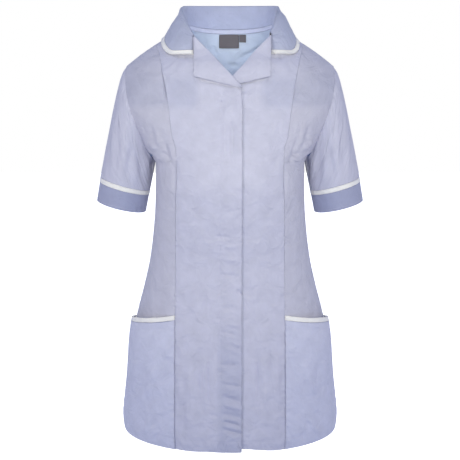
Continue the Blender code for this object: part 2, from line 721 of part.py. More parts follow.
def collar_half(cut, mirror):
    """Half of the collar as cross-sections: up the stand, round the roll and down the fall.

    Each is a dense line of points. Returns them with each one's place along the neck seam, the
    place of the shoulder, and the body's normals at the seam.
    """
    seam, normals = neck_seam(cut, mirror)
    step = np.linalg.norm(np.diff(seam, axis=0), axis=1)
    stations = np.concatenate(((0.0,), np.cumsum(step))) / step.sum()
    shoulder = stations[np.argmax(seam[:, 0])]
    fold = np.stack([smooth(COLLAR, "fold_" + axis, stations, "along") for axis in "xyz"], axis=-1)
    edge = np.stack([smooth(COLLAR, "edge_" + axis, stations, "along") for axis in "xyz"], axis=-1)
    if mirror < 0:
        wider = ramp(stations, 0.72, 1.0)[:, None]
        fold = fold + wider * LEFT_FOLD_SHIFT
        edge = edge + wider * LEFT_EDGE_SHIFT
    ahead = np.gradient(fold, axis=0)
    sections = []
    for i in range(len(stations)):
        up = unit(fold[i] - (seam[i] + edge[i]) / 2)
        out = unit(np.cross(up, ahead[i]))
        flat = unit(normals[i] - np.dot(normals[i], up) * up)
        out = unit(out + (flat - out) * ramp(stations[i], 0.80, 1.0))
        turn = np.radians(np.linspace(0, 180, 9))[:, None]
        centre = fold[i] - up * COLLAR_ROLL
        roll = centre + COLLAR_ROLL * (-np.cos(turn) * out + np.sin(turn) * up)
        start = seam[i] + up * SEAM_GAP / 2
        stand = start + (roll[0] - start) * np.linspace(0, 1, STAND_POINTS)[:-1, None]
        share = np.linspace(0, 1, 20)[1:, None]
        fall = roll[-1] + (edge[i] - roll[-1]) * share
        fall = fall + out * COLLAR_BOW * (4 * share * (1 - share))
        fall = stand_off(fall, COLLAR_CLEAR)
        sections.append(np.concatenate([stand, roll, fall]))
    return sections, stations, shoulder, normals


def cut_section(line, start, end, count):
    """Points along a line, evenly spaced between two lengths."""
    lengths = np.concatenate(([0.0], np.cumsum(np.linalg.norm(np.diff(line, axis=0), axis=1))))
    places = np.linspace(start, end, count)
    return np.stack([np.interp(places, lengths, line[:, i]) for i in range(3)], axis=-1)


def line_length(line):
    return float(np.linalg.norm(np.diff(line, axis=0), axis=1).sum())


def collar_pieces():
    """Collar, its braid and the neck band, from sections joined across the back.

    Also returns the neck seam's points with the directions that both of its sides share.
    """
    flip = np.array((-1.0, 1.0, 1.0))
    right, right_places, right_share, right_normals = collar_half(REVERS_RIGHT, 1)
    left, left_places, left_share, left_normals = collar_half(REVERS_LEFT, -1)
    sections = [line * flip for line in right[::-1]] + left[1:]
    places = np.concatenate([-right_places[::-1], left_places[1:]])
    body = np.concatenate([right_normals[::-1] * flip, left_normals[1:]])
    collar, braid, band, on_band = [], [], [], []
    for line, place in zip(sections, places):
        share = right_share if place < 0 else left_share
        banded = abs(place) <= share + 1e-6
        width = NECK_BAND_WIDTH * (1 - 0.9 * ramp(abs(place), share - 0.14, share)) if banded else 0.0
        total = line_length(line)
        stand = line_length(line[:STAND_POINTS])
        rolled = line_length(line[:STAND_POINTS + 8])
        lower = cut_section(line, width, stand, 4)
        top = cut_section(line, stand, rolled, 5)[1:]
        fall = cut_section(line, rolled, total - BRAID_WIDTH - SEAM_GAP, 5)[1:]
        collar.append(np.concatenate([lower, top, fall]))
        braid.append(cut_section(line, total - BRAID_WIDTH, total, 3))
        on_band.append(banded)
        if banded:
            band.append(cut_section(line, 0.0, width - SEAM_GAP, 3))
    first = np.array([line[0] for line in sections])
    second = np.array([line[3] for line in sections])
    own = unit(np.cross(np.gradient(first, axis=0), second - first))
    shared = unit(own - body)
    on_band = np.array(on_band)
    made = [Sheet(points, unit(np.cross(np.gradient(points, axis=0), np.gradient(points, axis=1))))
            for points in (np.array(collar), np.array(braid), np.array(band))]
    made[0].normals[~on_band, 0] = shared[~on_band]
    made[2].normals[:, 0] = shared[on_band]
    seam = np.array([line[0] for line in sections])
    return made, seam, -shared


def share_normals(sheet, seam, normals):
    """Give the points of a panel's upper edge that lie on the neck seam the seam's directions."""
    for i, point in enumerate(sheet.points[:, 0]):
        distance = np.linalg.norm(seam - point, axis=1)
        nearest = int(np.argmin(distance))
        if distance[nearest] < SEAM_GAP:
            sheet.normals[i, 0] = normals[nearest]


def revers(cut, mirror):
    """A turned lapel: out from the roll line, round it, and down over the front."""
    shares = REVERS_SHARES
    roll_x = cut["gorge_x"] + (cut["break_x"] - cut["gorge_x"]) * shares
    roll_z = cut["gorge_z"] + (cut["break_z"] - cut["gorge_z"]) * shares
    down = np.clip(shares / REVERS_CORNER, 0, 1)
    over = np.clip((shares - REVERS_CORNER) / (1 - REVERS_CORNER), 0, 1)
    start = np.array((cut["gorge_x"], cut["gorge_z"] - GORGE_STEP))[:, None]
    corner = np.array((cut["corner_x"], cut["corner_z"]))[:, None]
    tip = np.array((cut["tip_x"], cut["tip_z"]))[:, None]
    edge_x, edge_z = start + (corner - start) * down + (tip - corner) * over
    along = unit(np.array((cut["break_x"] - cut["gorge_x"], cut["break_z"] - cut["gorge_z"])))
    beyond = np.array((-along[1], along[0])) * mirror
    return roll_x, roll_z, edge_x, edge_z, beyond


def revers_sheet(cut, mirror, lift_over):
    """The lapel's grid: its first rows go round the roll line, the rest lie over the front."""
    roll_x, roll_z, edge_x, edge_z, beyond = revers(cut, mirror)
    radius = REVERS_LIFT / 2
    columns = []
    for out, up in zip(np.sin(ROLL_TURNS) * radius + REVERS_START, (1 - np.cos(ROLL_TURNS)) * radius):
        columns.append((roll_x + beyond[0] * out, roll_z + beyond[1] * out, up))
    for share, up in zip(REVERS_RISE["share"], REVERS_RISE["lift"]):
        columns.append((roll_x + (edge_x - roll_x) * share, roll_z + (edge_z - roll_z) * share, up))
    x = np.stack([c[0] for c in columns], axis=1)
    z = np.stack([c[1] for c in columns], axis=1)
    up = np.stack([np.full_like(roll_x, c[2]) for c in columns], axis=1)
    points = on_body(x, z, -1, lift_over(x, z, up))
    out = surface_normal(x, z, -1)
    across_grid = np.gradient(points, axis=1)
    down_grid = np.gradient(points, axis=0)
    own = unit(np.cross(down_grid, across_grid))
    own = own * np.sign(np.sum(own[:, -1:] * out[:, -1:], axis=-1, keepdims=True))
    return Sheet(points, own)


def over_fly(x, z, up):
    """The upper lapel rises a little where it crosses the placket."""
    return up + 0.0006 * ramp(x, -0.02, 0.01)


def over_under(x, z, up):
    """The other lapel follows the under front down, and is pressed flat below the first one."""
    return under_lift(x, z) + 0.0002 + up * (1 - 0.4 * ramp(0.030 - x, 0.0, 0.020))


def pocket_sheets(panel_sheet):
    """A patch pocket and its braid, from the side front's points, moved out.

    It stands off most at the middle of its mouth and lies on the panel at its edges and hem.
    """
    points, normals = panel_sheet.points, panel_sheet.normals
    columns = points.shape[0]
    share = np.linspace(0, 1, columns)
    mouth_z = POCKET_MOUTH_INNER_Z + (POCKET_MOUTH_OUTER_Z - POCKET_MOUTH_INNER_Z) * share
    z = points[..., 2]
    first = int(np.argmax(z[0] < mouth_z[-1] - 0.030))
    braid_end = mouth_z - BRAID_WIDTH

    def at(levels_z):
        place, out = [], []
        for i in range(columns):
            order = np.argsort(z[i])
            place.append([np.interp(levels_z[i], z[i][order], points[i, order, k]) for k in range(3)])
            out.append([np.interp(levels_z[i], z[i][order], normals[i, order, k]) for k in range(3)])
        return np.array(place), unit(np.array(out))

    def lift(levels_z):
        down = np.clip((mouth_z - levels_z) / (mouth_z - HEM_Z), 0, 1)
        bow = np.clip(np.sin(np.pi * share ** 1.25), 0, 1) ** 1.2
        side_stand = POCKET_SIDE_STAND * ramp(share, 0.5, 1.0) * (1 - ramp(down, 0.0, 0.45))
        return POCKET_LIFT + POCKET_BULGE * bow * (1 - ramp(down, 0.0, 0.75)) + side_stand

    def rows_to_sheet(level_rows):
        place, out = [], []
        for row in level_rows:
            p, n = at(row)
            place.append(p + n * lift(row)[:, None])
            out.append(n)
        place = np.stack(place, axis=1)
        return Sheet(place, grid_normals(place, np.stack(out, axis=1)))

    body_rows = [braid_end - SEAM_GAP, mouth_z - POCKET_SECOND_ROW]
    for j in range(first, points.shape[1]):
        body_rows.append(z[:, j])
    gap = SEAM_GAP
    pocket = rows_to_sheet(body_rows).trim(start_column=gap, end_column=gap)
    braid = rows_to_sheet([mouth_z, braid_end]).trim(start_column=gap, end_column=gap)
    return pocket, braid


def inner_strip(x, z, side, lift):
    """A strip that lies inside the garment, from its own points."""
    points = on_body(x, z, side, lift)
    return Sheet(points, surface_normal(x, z, side))


def labels():
    """The neck label and the size tab, both hanging from the back neck seam, inside."""
    made = {}
    for name, x_low, x_high, drop, columns in LABELS:
        x = np.linspace(x_low, x_high, columns)[:, None]
        share = np.linspace(0, 1, 4)[None, :]
        x, share = np.broadcast_arrays(x, share)
        made[name] = inner_strip(x, NAPE_Z - 0.0006 - drop * share, 1, LABEL_LIFT - LABEL_DROOP * share ** 1.5)
    return made


def zip_levels(top, bottom):
    """Heights of the zip's points: its ends, and the panels' levels between them."""
    levels = [z for z in (YOKE_Z,) + ARMHOLE_LEVELS + SKIRT_LEVELS if bottom + 0.004 < z < top - 0.004]
    return np.array([top] + levels + [bottom])


def zip_tape(mirror):
    """One side of the zip's tape. The right one rises to the fly, the left one lies under its front."""
    z = zip_levels(ZIP_TOP_Z, ZIP_BOTTOM_Z)[None, :]
    if mirror > 0:
        x = np.array((TAPE_INNER_X, 0.0090, TAPE_OUTER_X))[:, None]
        lift = np.array((ZIP_DEPTH, ZIP_DEPTH, ZIP_DEPTH))[:, None]
    else:
        x = np.array((-TAPE_OUTER_X, -0.0125, -0.0085, -TAPE_INNER_X))[:, None]
        lift = np.array((-0.0015, -0.0017, ZIP_DEPTH + 0.0006, ZIP_DEPTH))[:, None]
    shape = (x.shape[0], z.shape[1])
    x, z, lift = np.broadcast_to(x, shape), np.broadcast_to(z, shape), np.broadcast_to(lift, shape)
    lift = lift + relief(x, z, -1)
    return inner_strip(x, z, -1, lift)


def zip_chain():
    """The closed teeth as one plain bar, from inside the slider to the bottom stop."""
    z = zip_levels(ZIP_TOP_Z - 0.0055, ZIP_BOTTOM_Z + 0.004)[None, :]
    x = np.array((-CHAIN_HALF_WIDTH, CHAIN_HALF_WIDTH))[:, None]
    shape = (2, z.shape[1])
    x, z = np.broadcast_to(x, shape), np.broadcast_to(z, shape)
    return inner_strip(x, z, -1, ZIP_DEPTH + relief(x, z, -1))


def slider_frame():
    """Origin and directions of the slider: across (+X), out of the chest, and up along the zip."""
    z = ZIP_TOP_Z - 0.001
    origin = on_body(0.0, z, -1)
    out = surface_normal(np.array(0.0), np.array(z), -1)
    side = np.array((1.0, 0.0, 0.0))
    up = np.cross(side, out)
    if up[2] < 0:
        up = -up
    return origin, side, out, up


def blocks(name, boxes, finish):
    """One body from boxes in the slider's own directions, joined where they overlap."""
    origin, side, out, up = slider_frame()
    parts = []
    for index, (low, high) in enumerate(boxes):
        corners = [[(low, high)[i][0], (low, high)[j][1], (low, high)[k][2]]
                   for i in (0, 1) for j in (0, 1) for k in (0, 1)]
        vertices = [origin + c[0] * side + c[1] * out + c[2] * up for c in corners]
        faces = ((0, 1, 3, 2), (4, 6, 7, 5), (0, 4, 5, 1), (2, 3, 7, 6), (0, 2, 6, 4), (1, 5, 7, 3))
        parts.append(add_object(name if index == 0 else f"{name}_cut_{index}", vertices, faces, finish))
    body = parts[0]
    for other in parts[1:]:
        other.hide_render = True
        other.display_type = "WIRE"
        join = body.modifiers.new("join", "BOOLEAN")
        join.operation = "UNION"
        join.solver = "EXACT"
        join.object = other
    return body


def slider_and_pull(metal):
    """The slider, with its two plates, post and bridge, and the pull tab on the bridge."""
    plate_top, plate_low = -0.0012, -0.0128
    blocks("zip_slider", (
        ((-0.0045, -0.0020, plate_low), (0.0045, -0.0013, plate_top)),
        ((-0.0045, -0.0051, plate_low), (0.0045, -0.0044, plate_top)),
        ((-0.0010, -0.0046, plate_top - 0.0024), (0.0010, -0.0018, plate_top)),
        ((-0.0006, -0.0015, HINGE_UP + 0.0012), (0.0006, 0.0011, HINGE_UP + 0.0022)),
        ((-0.0006, -0.0015, HINGE_UP - 0.0022), (0.0006, 0.0011, HINGE_UP - 0.0012)),
        ((-0.0006, 0.0004, HINGE_UP - 0.0022), (0.0006, 0.0011, HINGE_UP + 0.0022)),
    ), metal)
    half = 0.00042
    eye = 0.0026
    pull = blocks("zip_pull", (
        ((-0.0022, HINGE_OUT - half, HINGE_UP - half), (0.0022, HINGE_OUT + half, HINGE_UP + half)),
        ((-0.0022, HINGE_OUT - half, HINGE_UP - eye - 0.001), (-0.0011, HINGE_OUT + half, HINGE_UP + half)),
        ((0.0011, HINGE_OUT - half, HINGE_UP - eye - 0.001), (0.0022, HINGE_OUT + half, HINGE_UP + half)),
        ((-0.0022, HINGE_OUT - half, HINGE_UP - PULL_LENGTH), (0.0022, HINGE_OUT + half, HINGE_UP - eye)),
    ), metal)
    origin, _, out, up = slider_frame()
    pin = origin + out * HINGE_OUT + up * HINGE_UP
    hinge = bpy.data.objects.new("pull_hinge", None)
    hinge.location = tuple(pin)
    bpy.context.scene.collection.objects.link(hinge)
    pull.parent = hinge
    pull.matrix_parent_inverse = hinge.matrix_basis.inverted()


def clear_scene():
    for thing in list(bpy.data.objects):
        bpy.data.objects.remove(thing, do_unlink=True)


def main():
    clear_scene()
    blue = material("pale_blue_cloth", PALE_BLUE)
    cuff_blue = material("cuff_cloth", CUFF_BLUE)
    collar_blue = material("collar_cloth", COLLAR_BLUE)
    band_blue = material("neck_band_cloth", BAND_BLUE)
    pocket_blue = material("pocket_cloth", POCKET_BLUE)
    white = material("white_braid", BRAID_WHITE, 0.8)
    grey = material("label_weave", LABEL_GREY, 0.9)
    tape = material("zip_tape", TAPE_BLUE, 0.8)
    nylon = material("zip_nylon", ZIP_NYLON, 0.5)
    metal = material("zip_metal", ZIP_METAL, 0.35, 1.0)
    gap = SEAM_GAP / 2

    # Fronts, side fronts, back and sleeves
    right_front, left_front = fronts()
    side = side_front(1)
    back = back_panel()
    count = len(YOKE_STEPS) + 1 + len(ARMHOLE_LEVELS)
    ring = armhole_ring(side, back, count)
    sleeve = sleeve_sheet(ring, count)
    mitre(sleeve, side, back, count)
    back.normals[0] = back.normals[-1] * np.array((-1.0, 1.0, 1.0))
    (collar, collar_braid, band), neck, neck_normals = collar_pieces()
    for sheet in (right_front, left_front, back):
        share_normals(sheet, neck, neck_normals)
    side.trim(start_column=gap, end_column=gap, start_row=gap)
    back.trim(start_column=gap, end_column=gap, start_row=gap)
    right_front.trim(start_column=gap, start_row=gap)
    left_front.trim(start_column=gap, start_row=gap)
    cloth("front_right", right_front, blue)
    cloth("front_left", left_front, blue)
    cloth("back", back, blue)

    share = ring_shares(ring, count)
    braid_start = sleeve.points[:, -1]
    cuff_end = end_ring(CUFF_END_OUTER, CUFF_END_INNER, share)
    split = BRAID_WIDTH / CUFF_HEIGHT
    braid_end = braid_start + (cuff_end - braid_start) * split
    sleeve.trim(end_row=gap)
    braid = tube_between(braid_start, braid_end, 1, gap, gap, 0.0002)
    cuff = tube_between(braid_end, cuff_end, 3, gap, 0.0)
    pocket, pocket_braid = pocket_sheets(side)
    for mirror, name in ((1, "left"), (-1, "right")):
        cloth(f"side_front_{name}", mirrored(side, mirror), blue)
        cloth(f"sleeve_{name}", mirrored(sleeve, mirror), blue)
        cloth(f"sleeve_trim_{name}", mirrored(braid, mirror), white, BRAID)
        cloth(f"cuff_{name}", mirrored(cuff, mirror), cuff_blue)
        cloth(f"pocket_{name}", mirrored(pocket, mirror), pocket_blue)
        cloth(f"pocket_trim_{name}", mirrored(pocket_braid, mirror), white, BRAID)

    # Collar, neck band and lapels
    cloth("collar", collar.trim(start_column=gap, end_column=gap), collar_blue)
    cloth("collar_trim", collar_braid.trim(start_column=gap, end_column=gap), white, BRAID)
    cloth("neck_band", band.trim(start_column=gap, end_column=gap), band_blue)
    cloth("revers_right", revers_sheet(REVERS_RIGHT, 1, over_fly), blue, REVERS_CLOTH)
    cloth("revers_left", revers_sheet(REVERS_LEFT, -1, over_under), blue, REVERS_CLOTH)

    # Labels and zip
    for name, sheet in labels().items():
        cloth(name, sheet, grey, LABEL_CLOTH)
    cloth("zip_tape_left", zip_tape(1), tape, TAPE_THICKNESS)
    cloth("zip_tape_right", zip_tape(-1), tape, TAPE_THICKNESS)
    cloth("zip_chain", zip_chain(), nylon, 2 * CHAIN_HALF_THICKNESS)
    slider_and_pull(metal)


main()
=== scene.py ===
"""Zip-front tunic: the finished look of every piece, its materials, light, floor and camera.

Metres, +Z up. +X is the wearer's left, and the front faces -Y. Each piece of cloth is a thin shell
on a grid of points. The grid follows the same tables as its solid, with creases and sewing added.
"""

import math

import bpy
import numpy as np
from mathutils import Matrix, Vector


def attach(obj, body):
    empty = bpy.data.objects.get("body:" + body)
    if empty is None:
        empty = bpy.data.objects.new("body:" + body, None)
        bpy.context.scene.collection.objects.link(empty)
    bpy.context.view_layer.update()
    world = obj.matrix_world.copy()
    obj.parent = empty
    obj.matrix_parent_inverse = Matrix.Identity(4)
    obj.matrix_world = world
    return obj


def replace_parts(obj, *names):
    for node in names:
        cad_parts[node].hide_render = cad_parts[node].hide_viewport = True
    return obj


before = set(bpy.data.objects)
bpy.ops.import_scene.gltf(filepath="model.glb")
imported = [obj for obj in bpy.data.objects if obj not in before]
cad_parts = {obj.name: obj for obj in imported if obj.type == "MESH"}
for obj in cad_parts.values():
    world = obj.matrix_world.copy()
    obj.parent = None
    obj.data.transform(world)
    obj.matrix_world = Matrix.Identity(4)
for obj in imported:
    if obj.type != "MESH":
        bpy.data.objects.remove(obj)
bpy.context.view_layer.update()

# Sizes shared with the solids
CLOTH = 0.0014
SEAM_GAP = 0.0003
BRAID = 0.0018
BRAID_WIDTH = 0.008
ARCH = 0.070
NECK_HALF = 0.0765
SHOULDER_BASE_X = 0.070
SHOULDER_BASE_Z = 0.0237
SHOULDER_SLOPE = 0.46
SHOULDER_DROOP = 3.44
SHOULDER_POWER = 2.43
FRONT_NECK_RISE = 1.6
BACK_NECK_RISE = 0.9
NAPE_Z = 0.0138
YOKE_Z = -0.0955
UNDERARM_Z = -0.2136
HEM_Z = -0.7185
LEFT_FRONT_SHORTER = 0.0058
FLY_EDGE_X = 0.0207
LEFT_EDGE_X = 0.0065
COLLAR_ROLL = 0.0020
COLLAR_CLEAR = 0.0036
COLLAR_BOW = 0.0016
REVERS_LIFT = 0.0032
REVERS_CLOTH = 0.0012
GORGE_STEP = 0.004
NECK_BAND_WIDTH = 0.0083
CUFF_HEIGHT = 0.0420
ZIP_TOP_Z = -0.0990
ZIP_BOTTOM_Z = -0.600
TAPE_THICKNESS = 0.0010
ZIP_DEPTH = -0.0032
FLIP = np.array((-1.0, 1.0, 1.0))

# Sizes that only the finished cloth has
SEAM_TRIM = 0.00004
RIM = 0.5
HEM_TURN = 0.0200
HEM_EXTRA = 0.0007
HEM_CURL = 0.0045
HEM_CURL_HEIGHT = 0.032
LEFT_HEM_LEVEL_X = 0.095
FLY_ROLL = 0.0006
BESIDE_FLY = 0.0020
PLACKET_MIDDLE = 0.003
PLACKET_HALF_WIDTH = 0.0165
ZIP_HALF_WIDTH = 0.0098
OVER_ZIP = 0.0009
OVER_SLIDER = 0.0027
UNDER_FLY = 0.0017
UNDER_LAPEL = 0.0027
SLEEVE_CLEAR = 0.0021
POCKET_SIDE_STAND = 0.0008
POCKET_DEEPEST = -0.0012
LABEL_START = 0.0006
LABEL_CURL = 0.0022
TOOTH_PITCH = 0.0015
TOOTH_OFFSET = 0.0009
TOOTH_HALF_SIZE = (0.0020, 0.0009, 0.00062)


def table(columns, rows):
    """A dictionary of one array for each named column."""
    return dict(zip(columns, np.array(rows, float).T))


def places(**points):
    """A dictionary of one array for each named place."""
    return {name: np.array(point) for name, point in points.items()}


# Tenths of a millimetre in a metre
TENTHS = 10000


def creases(rows):
    """Soft troughs (depth below zero) and ridges from one place to another, in tenths of a millimetre.

    Bend moves the middle of a crease sideways.
    """
    columns = ("x_from", "z_from", "x_to", "z_to", "half_width", "depth", "bend")
    return table(columns, np.array(rows) / TENTHS)


TORSO = table(("height", "half_width", "front_depth", "back_depth", "roundness"), (
    (-0.7250, 0.2043, 0.1405, 0.1348, 2.05),
    (-0.6800, 0.2006, 0.1365, 0.1325, 2.09),
    (-0.6200, 0.1930, 0.1310, 0.1290, 2.17),
    (-0.5600, 0.1845, 0.1250, 0.1230, 2.27),
    (-0.5200, 0.1776, 0.1205, 0.1160, 2.33),
    (-0.4880, 0.1701, 0.1165, 0.1080, 2.37),
    (-0.4420, 0.1579, 0.1110, 0.0960, 2.40),
    (-0.3960, 0.1473, 0.1085, 0.0910, 2.40),
    (-0.3450, 0.1399, 0.1160, 0.0935, 2.40),
    (-0.2900, 0.1351, 0.1290, 0.1000, 2.40),
    (-0.2400, 0.1336, 0.1400, 0.1070, 2.40),
    (-0.2136, 0.1335, 0.1393, 0.1082, 2.40),
    (-0.2045, 0.1425, 0.1380, 0.1085, 2.25),
    (-0.1900, 0.1520, 0.1348, 0.1082, 2.12),
    (-0.1700, 0.1635, 0.1285, 0.1072, 2.10),
    (-0.1530, 0.1735, 0.1222, 0.1056, 2.17),
    (-0.1300, 0.1855, 0.1130, 0.1020, 2.34),
    (-0.1100, 0.1925, 0.1065, 0.0980, 2.40),
    (-0.0830, 0.1960, 0.0980, 0.0920, 2.40),
    (-0.0500, 0.2000, 0.0870, 0.0870, 2.40),
    (-0.0150, 0.2040, 0.0680, 0.0825, 2.40),
    (0.0100, 0.2055, 0.0655, 0.0795, 2.40),
    (0.0300, 0.2060, 0.0600, 0.0780, 2.40),
))
PRINCESS = table(("height", "x"), (
    (-0.7250, 0.0980), (-0.4800, 0.0962), (-0.3400, 0.0940), (-0.2700, 0.0918), (-0.2150, 0.0905),
    (-0.1860, 0.0915), (-0.1640, 0.0975), (-0.1380, 0.1010), (-0.1100, 0.1050), (-0.0830, 0.1090),
    (-0.0350, 0.1200), (-0.0070, 0.1290), (0.0300, 0.1360),
))
ARMHOLE = table(("height", "x"), (
    (-0.2136, 0.1335), (-0.2110, 0.1361), (-0.2045, 0.1412), (-0.1904, 0.1483), (-0.1703, 0.1557),
    (-0.1526, 0.1619), (-0.1300, 0.1702), (-0.1097, 0.1761), (-0.0875, 0.1810), (-0.0650, 0.1832),
    (-0.0440, 0.1840),
))
ARMHOLE_LEVELS = (-0.117, -0.138, -0.157, -0.174, -0.187, -0.197, -0.2045, -0.2105, UNDERARM_Z)
YOKE_STEPS = (0.0, 0.045, 0.16, 0.34, 0.54, 0.76)
# Places of the lapels in x and z: both ends of the roll line, the corner and the tip
REVERS_RIGHT = places(gorge=(-0.0618, 0.0015), foot=(0.0185, -0.0825), corner=(-0.0602, -0.0652),
                      tip=(0.0150, -0.0826))
REVERS_LEFT = places(gorge=(0.0693, 0.0030), foot=(-0.0052, -0.0755), corner=(0.0680, -0.0652),
                     tip=(-0.0020, -0.0790))
COLLAR = table(("along", "fold_x", "fold_y", "fold_z", "edge_x", "edge_y", "edge_z"), (
    (0.00, 0.0000, 0.0865, 0.0650, 0.0000, 0.0940, -0.0050),
    (0.20, 0.0330, 0.0850, 0.0649, 0.0370, 0.0915, -0.0050),
    (0.38, 0.0600, 0.0760, 0.0643, 0.0715, 0.0770, -0.0045),
    (0.50, 0.0795, 0.0560, 0.0628, 0.0980, 0.0530, -0.0020),
    (0.60, 0.0865, 0.0320, 0.0600, 0.1135, 0.0280, 0.0008),
    (0.70, 0.0848, 0.0060, 0.0536, 0.1185, 0.0030, 0.0010),
    (0.79, 0.0797, -0.0195, 0.0425, 0.1180, -0.0270, -0.0095),
    (0.87, 0.0735, -0.0385, 0.0272, 0.1135, -0.0465, -0.0195),
    (0.94, 0.0675, -0.0508, 0.0148, 0.1015, -0.0620, -0.0275),
    (1.00, 0.0622, -0.0602, 0.0052, 0.0620, -0.0745, -0.0285),
))
LEFT_FOLD_SHIFT = np.array((0.0069, 0.0068, 0.0046))
LEFT_EDGE_SHIFT = np.array((0.0073, 0.0045, 0.0))
SLEEVE = table(("along", "outward", "sideways"), (
    (0.00, 0.0000, 0.0000), (0.07, 0.0038, 0.0010), (0.14, 0.0050, 0.0018), (0.25, 0.0053, 0.0028),
    (0.40, 0.0048, 0.0034), (0.56, 0.0035, 0.0034), (0.72, 0.0025, 0.0028), (0.87, 0.0011, 0.0014),
    (1.00, 0.0000, 0.0000),
))
SLEEVE_END_OUTER = (0.2353, -0.2428)
SLEEVE_END_INNER = (0.1471, -0.2680)
CUFF_END_OUTER = (0.2426, -0.2856)
CUFF_END_INNER = (0.1556, -0.3074)
CUFF_HALF_DEPTH = 0.0525
POCKET_MOUTH_INNER_Z = -0.4775
POCKET_MOUTH_OUTER_Z = -0.5065
POCKET_BULGE = 0.0115
POCKET_LIFT = 0.0019
STITCH_BELOW = 0.0205
LABELS = (("neck_label", -0.0202, 0.0166, 0.0242), ("size_tab", 0.0176, 0.0302, 0.0132))
LABEL_LIFT = -0.0021
LABEL_CLOTH = 0.0010

# The broad soft folds, as in the solids: side -1 is the front and 1 the back.
FOLDS = table(("side", "x_top", "z_top", "x_low", "z_low", "half_width", "depth"), (
    (-1, -0.060, -0.44, -0.070, -0.73, 0.022, 0.0022),
    (-1, -0.036, -0.46, -0.042, -0.73, 0.016, -0.0018),
    (-1, 0.062, -0.42, 0.074, -0.73, 0.022, 0.0022),
    (-1, 0.088, -0.15, 0.078, -0.27, 0.016, -0.0020),
    (-1, -0.088, -0.15, -0.078, -0.27, 0.016, -0.0020),
    (1, -0.090, -0.40, -0.115, -0.73, 0.030, 0.0045),
    (1, -0.045, -0.38, -0.060, -0.73, 0.026, -0.0040),
    (1, 0.000, -0.36, 0.004, -0.73, 0.028, 0.0045),
    (1, 0.050, -0.38, 0.066, -0.73, 0.026, -0.0040),
    (1, 0.092, -0.40, 0.120, -0.73, 0.030, 0.0045),
))

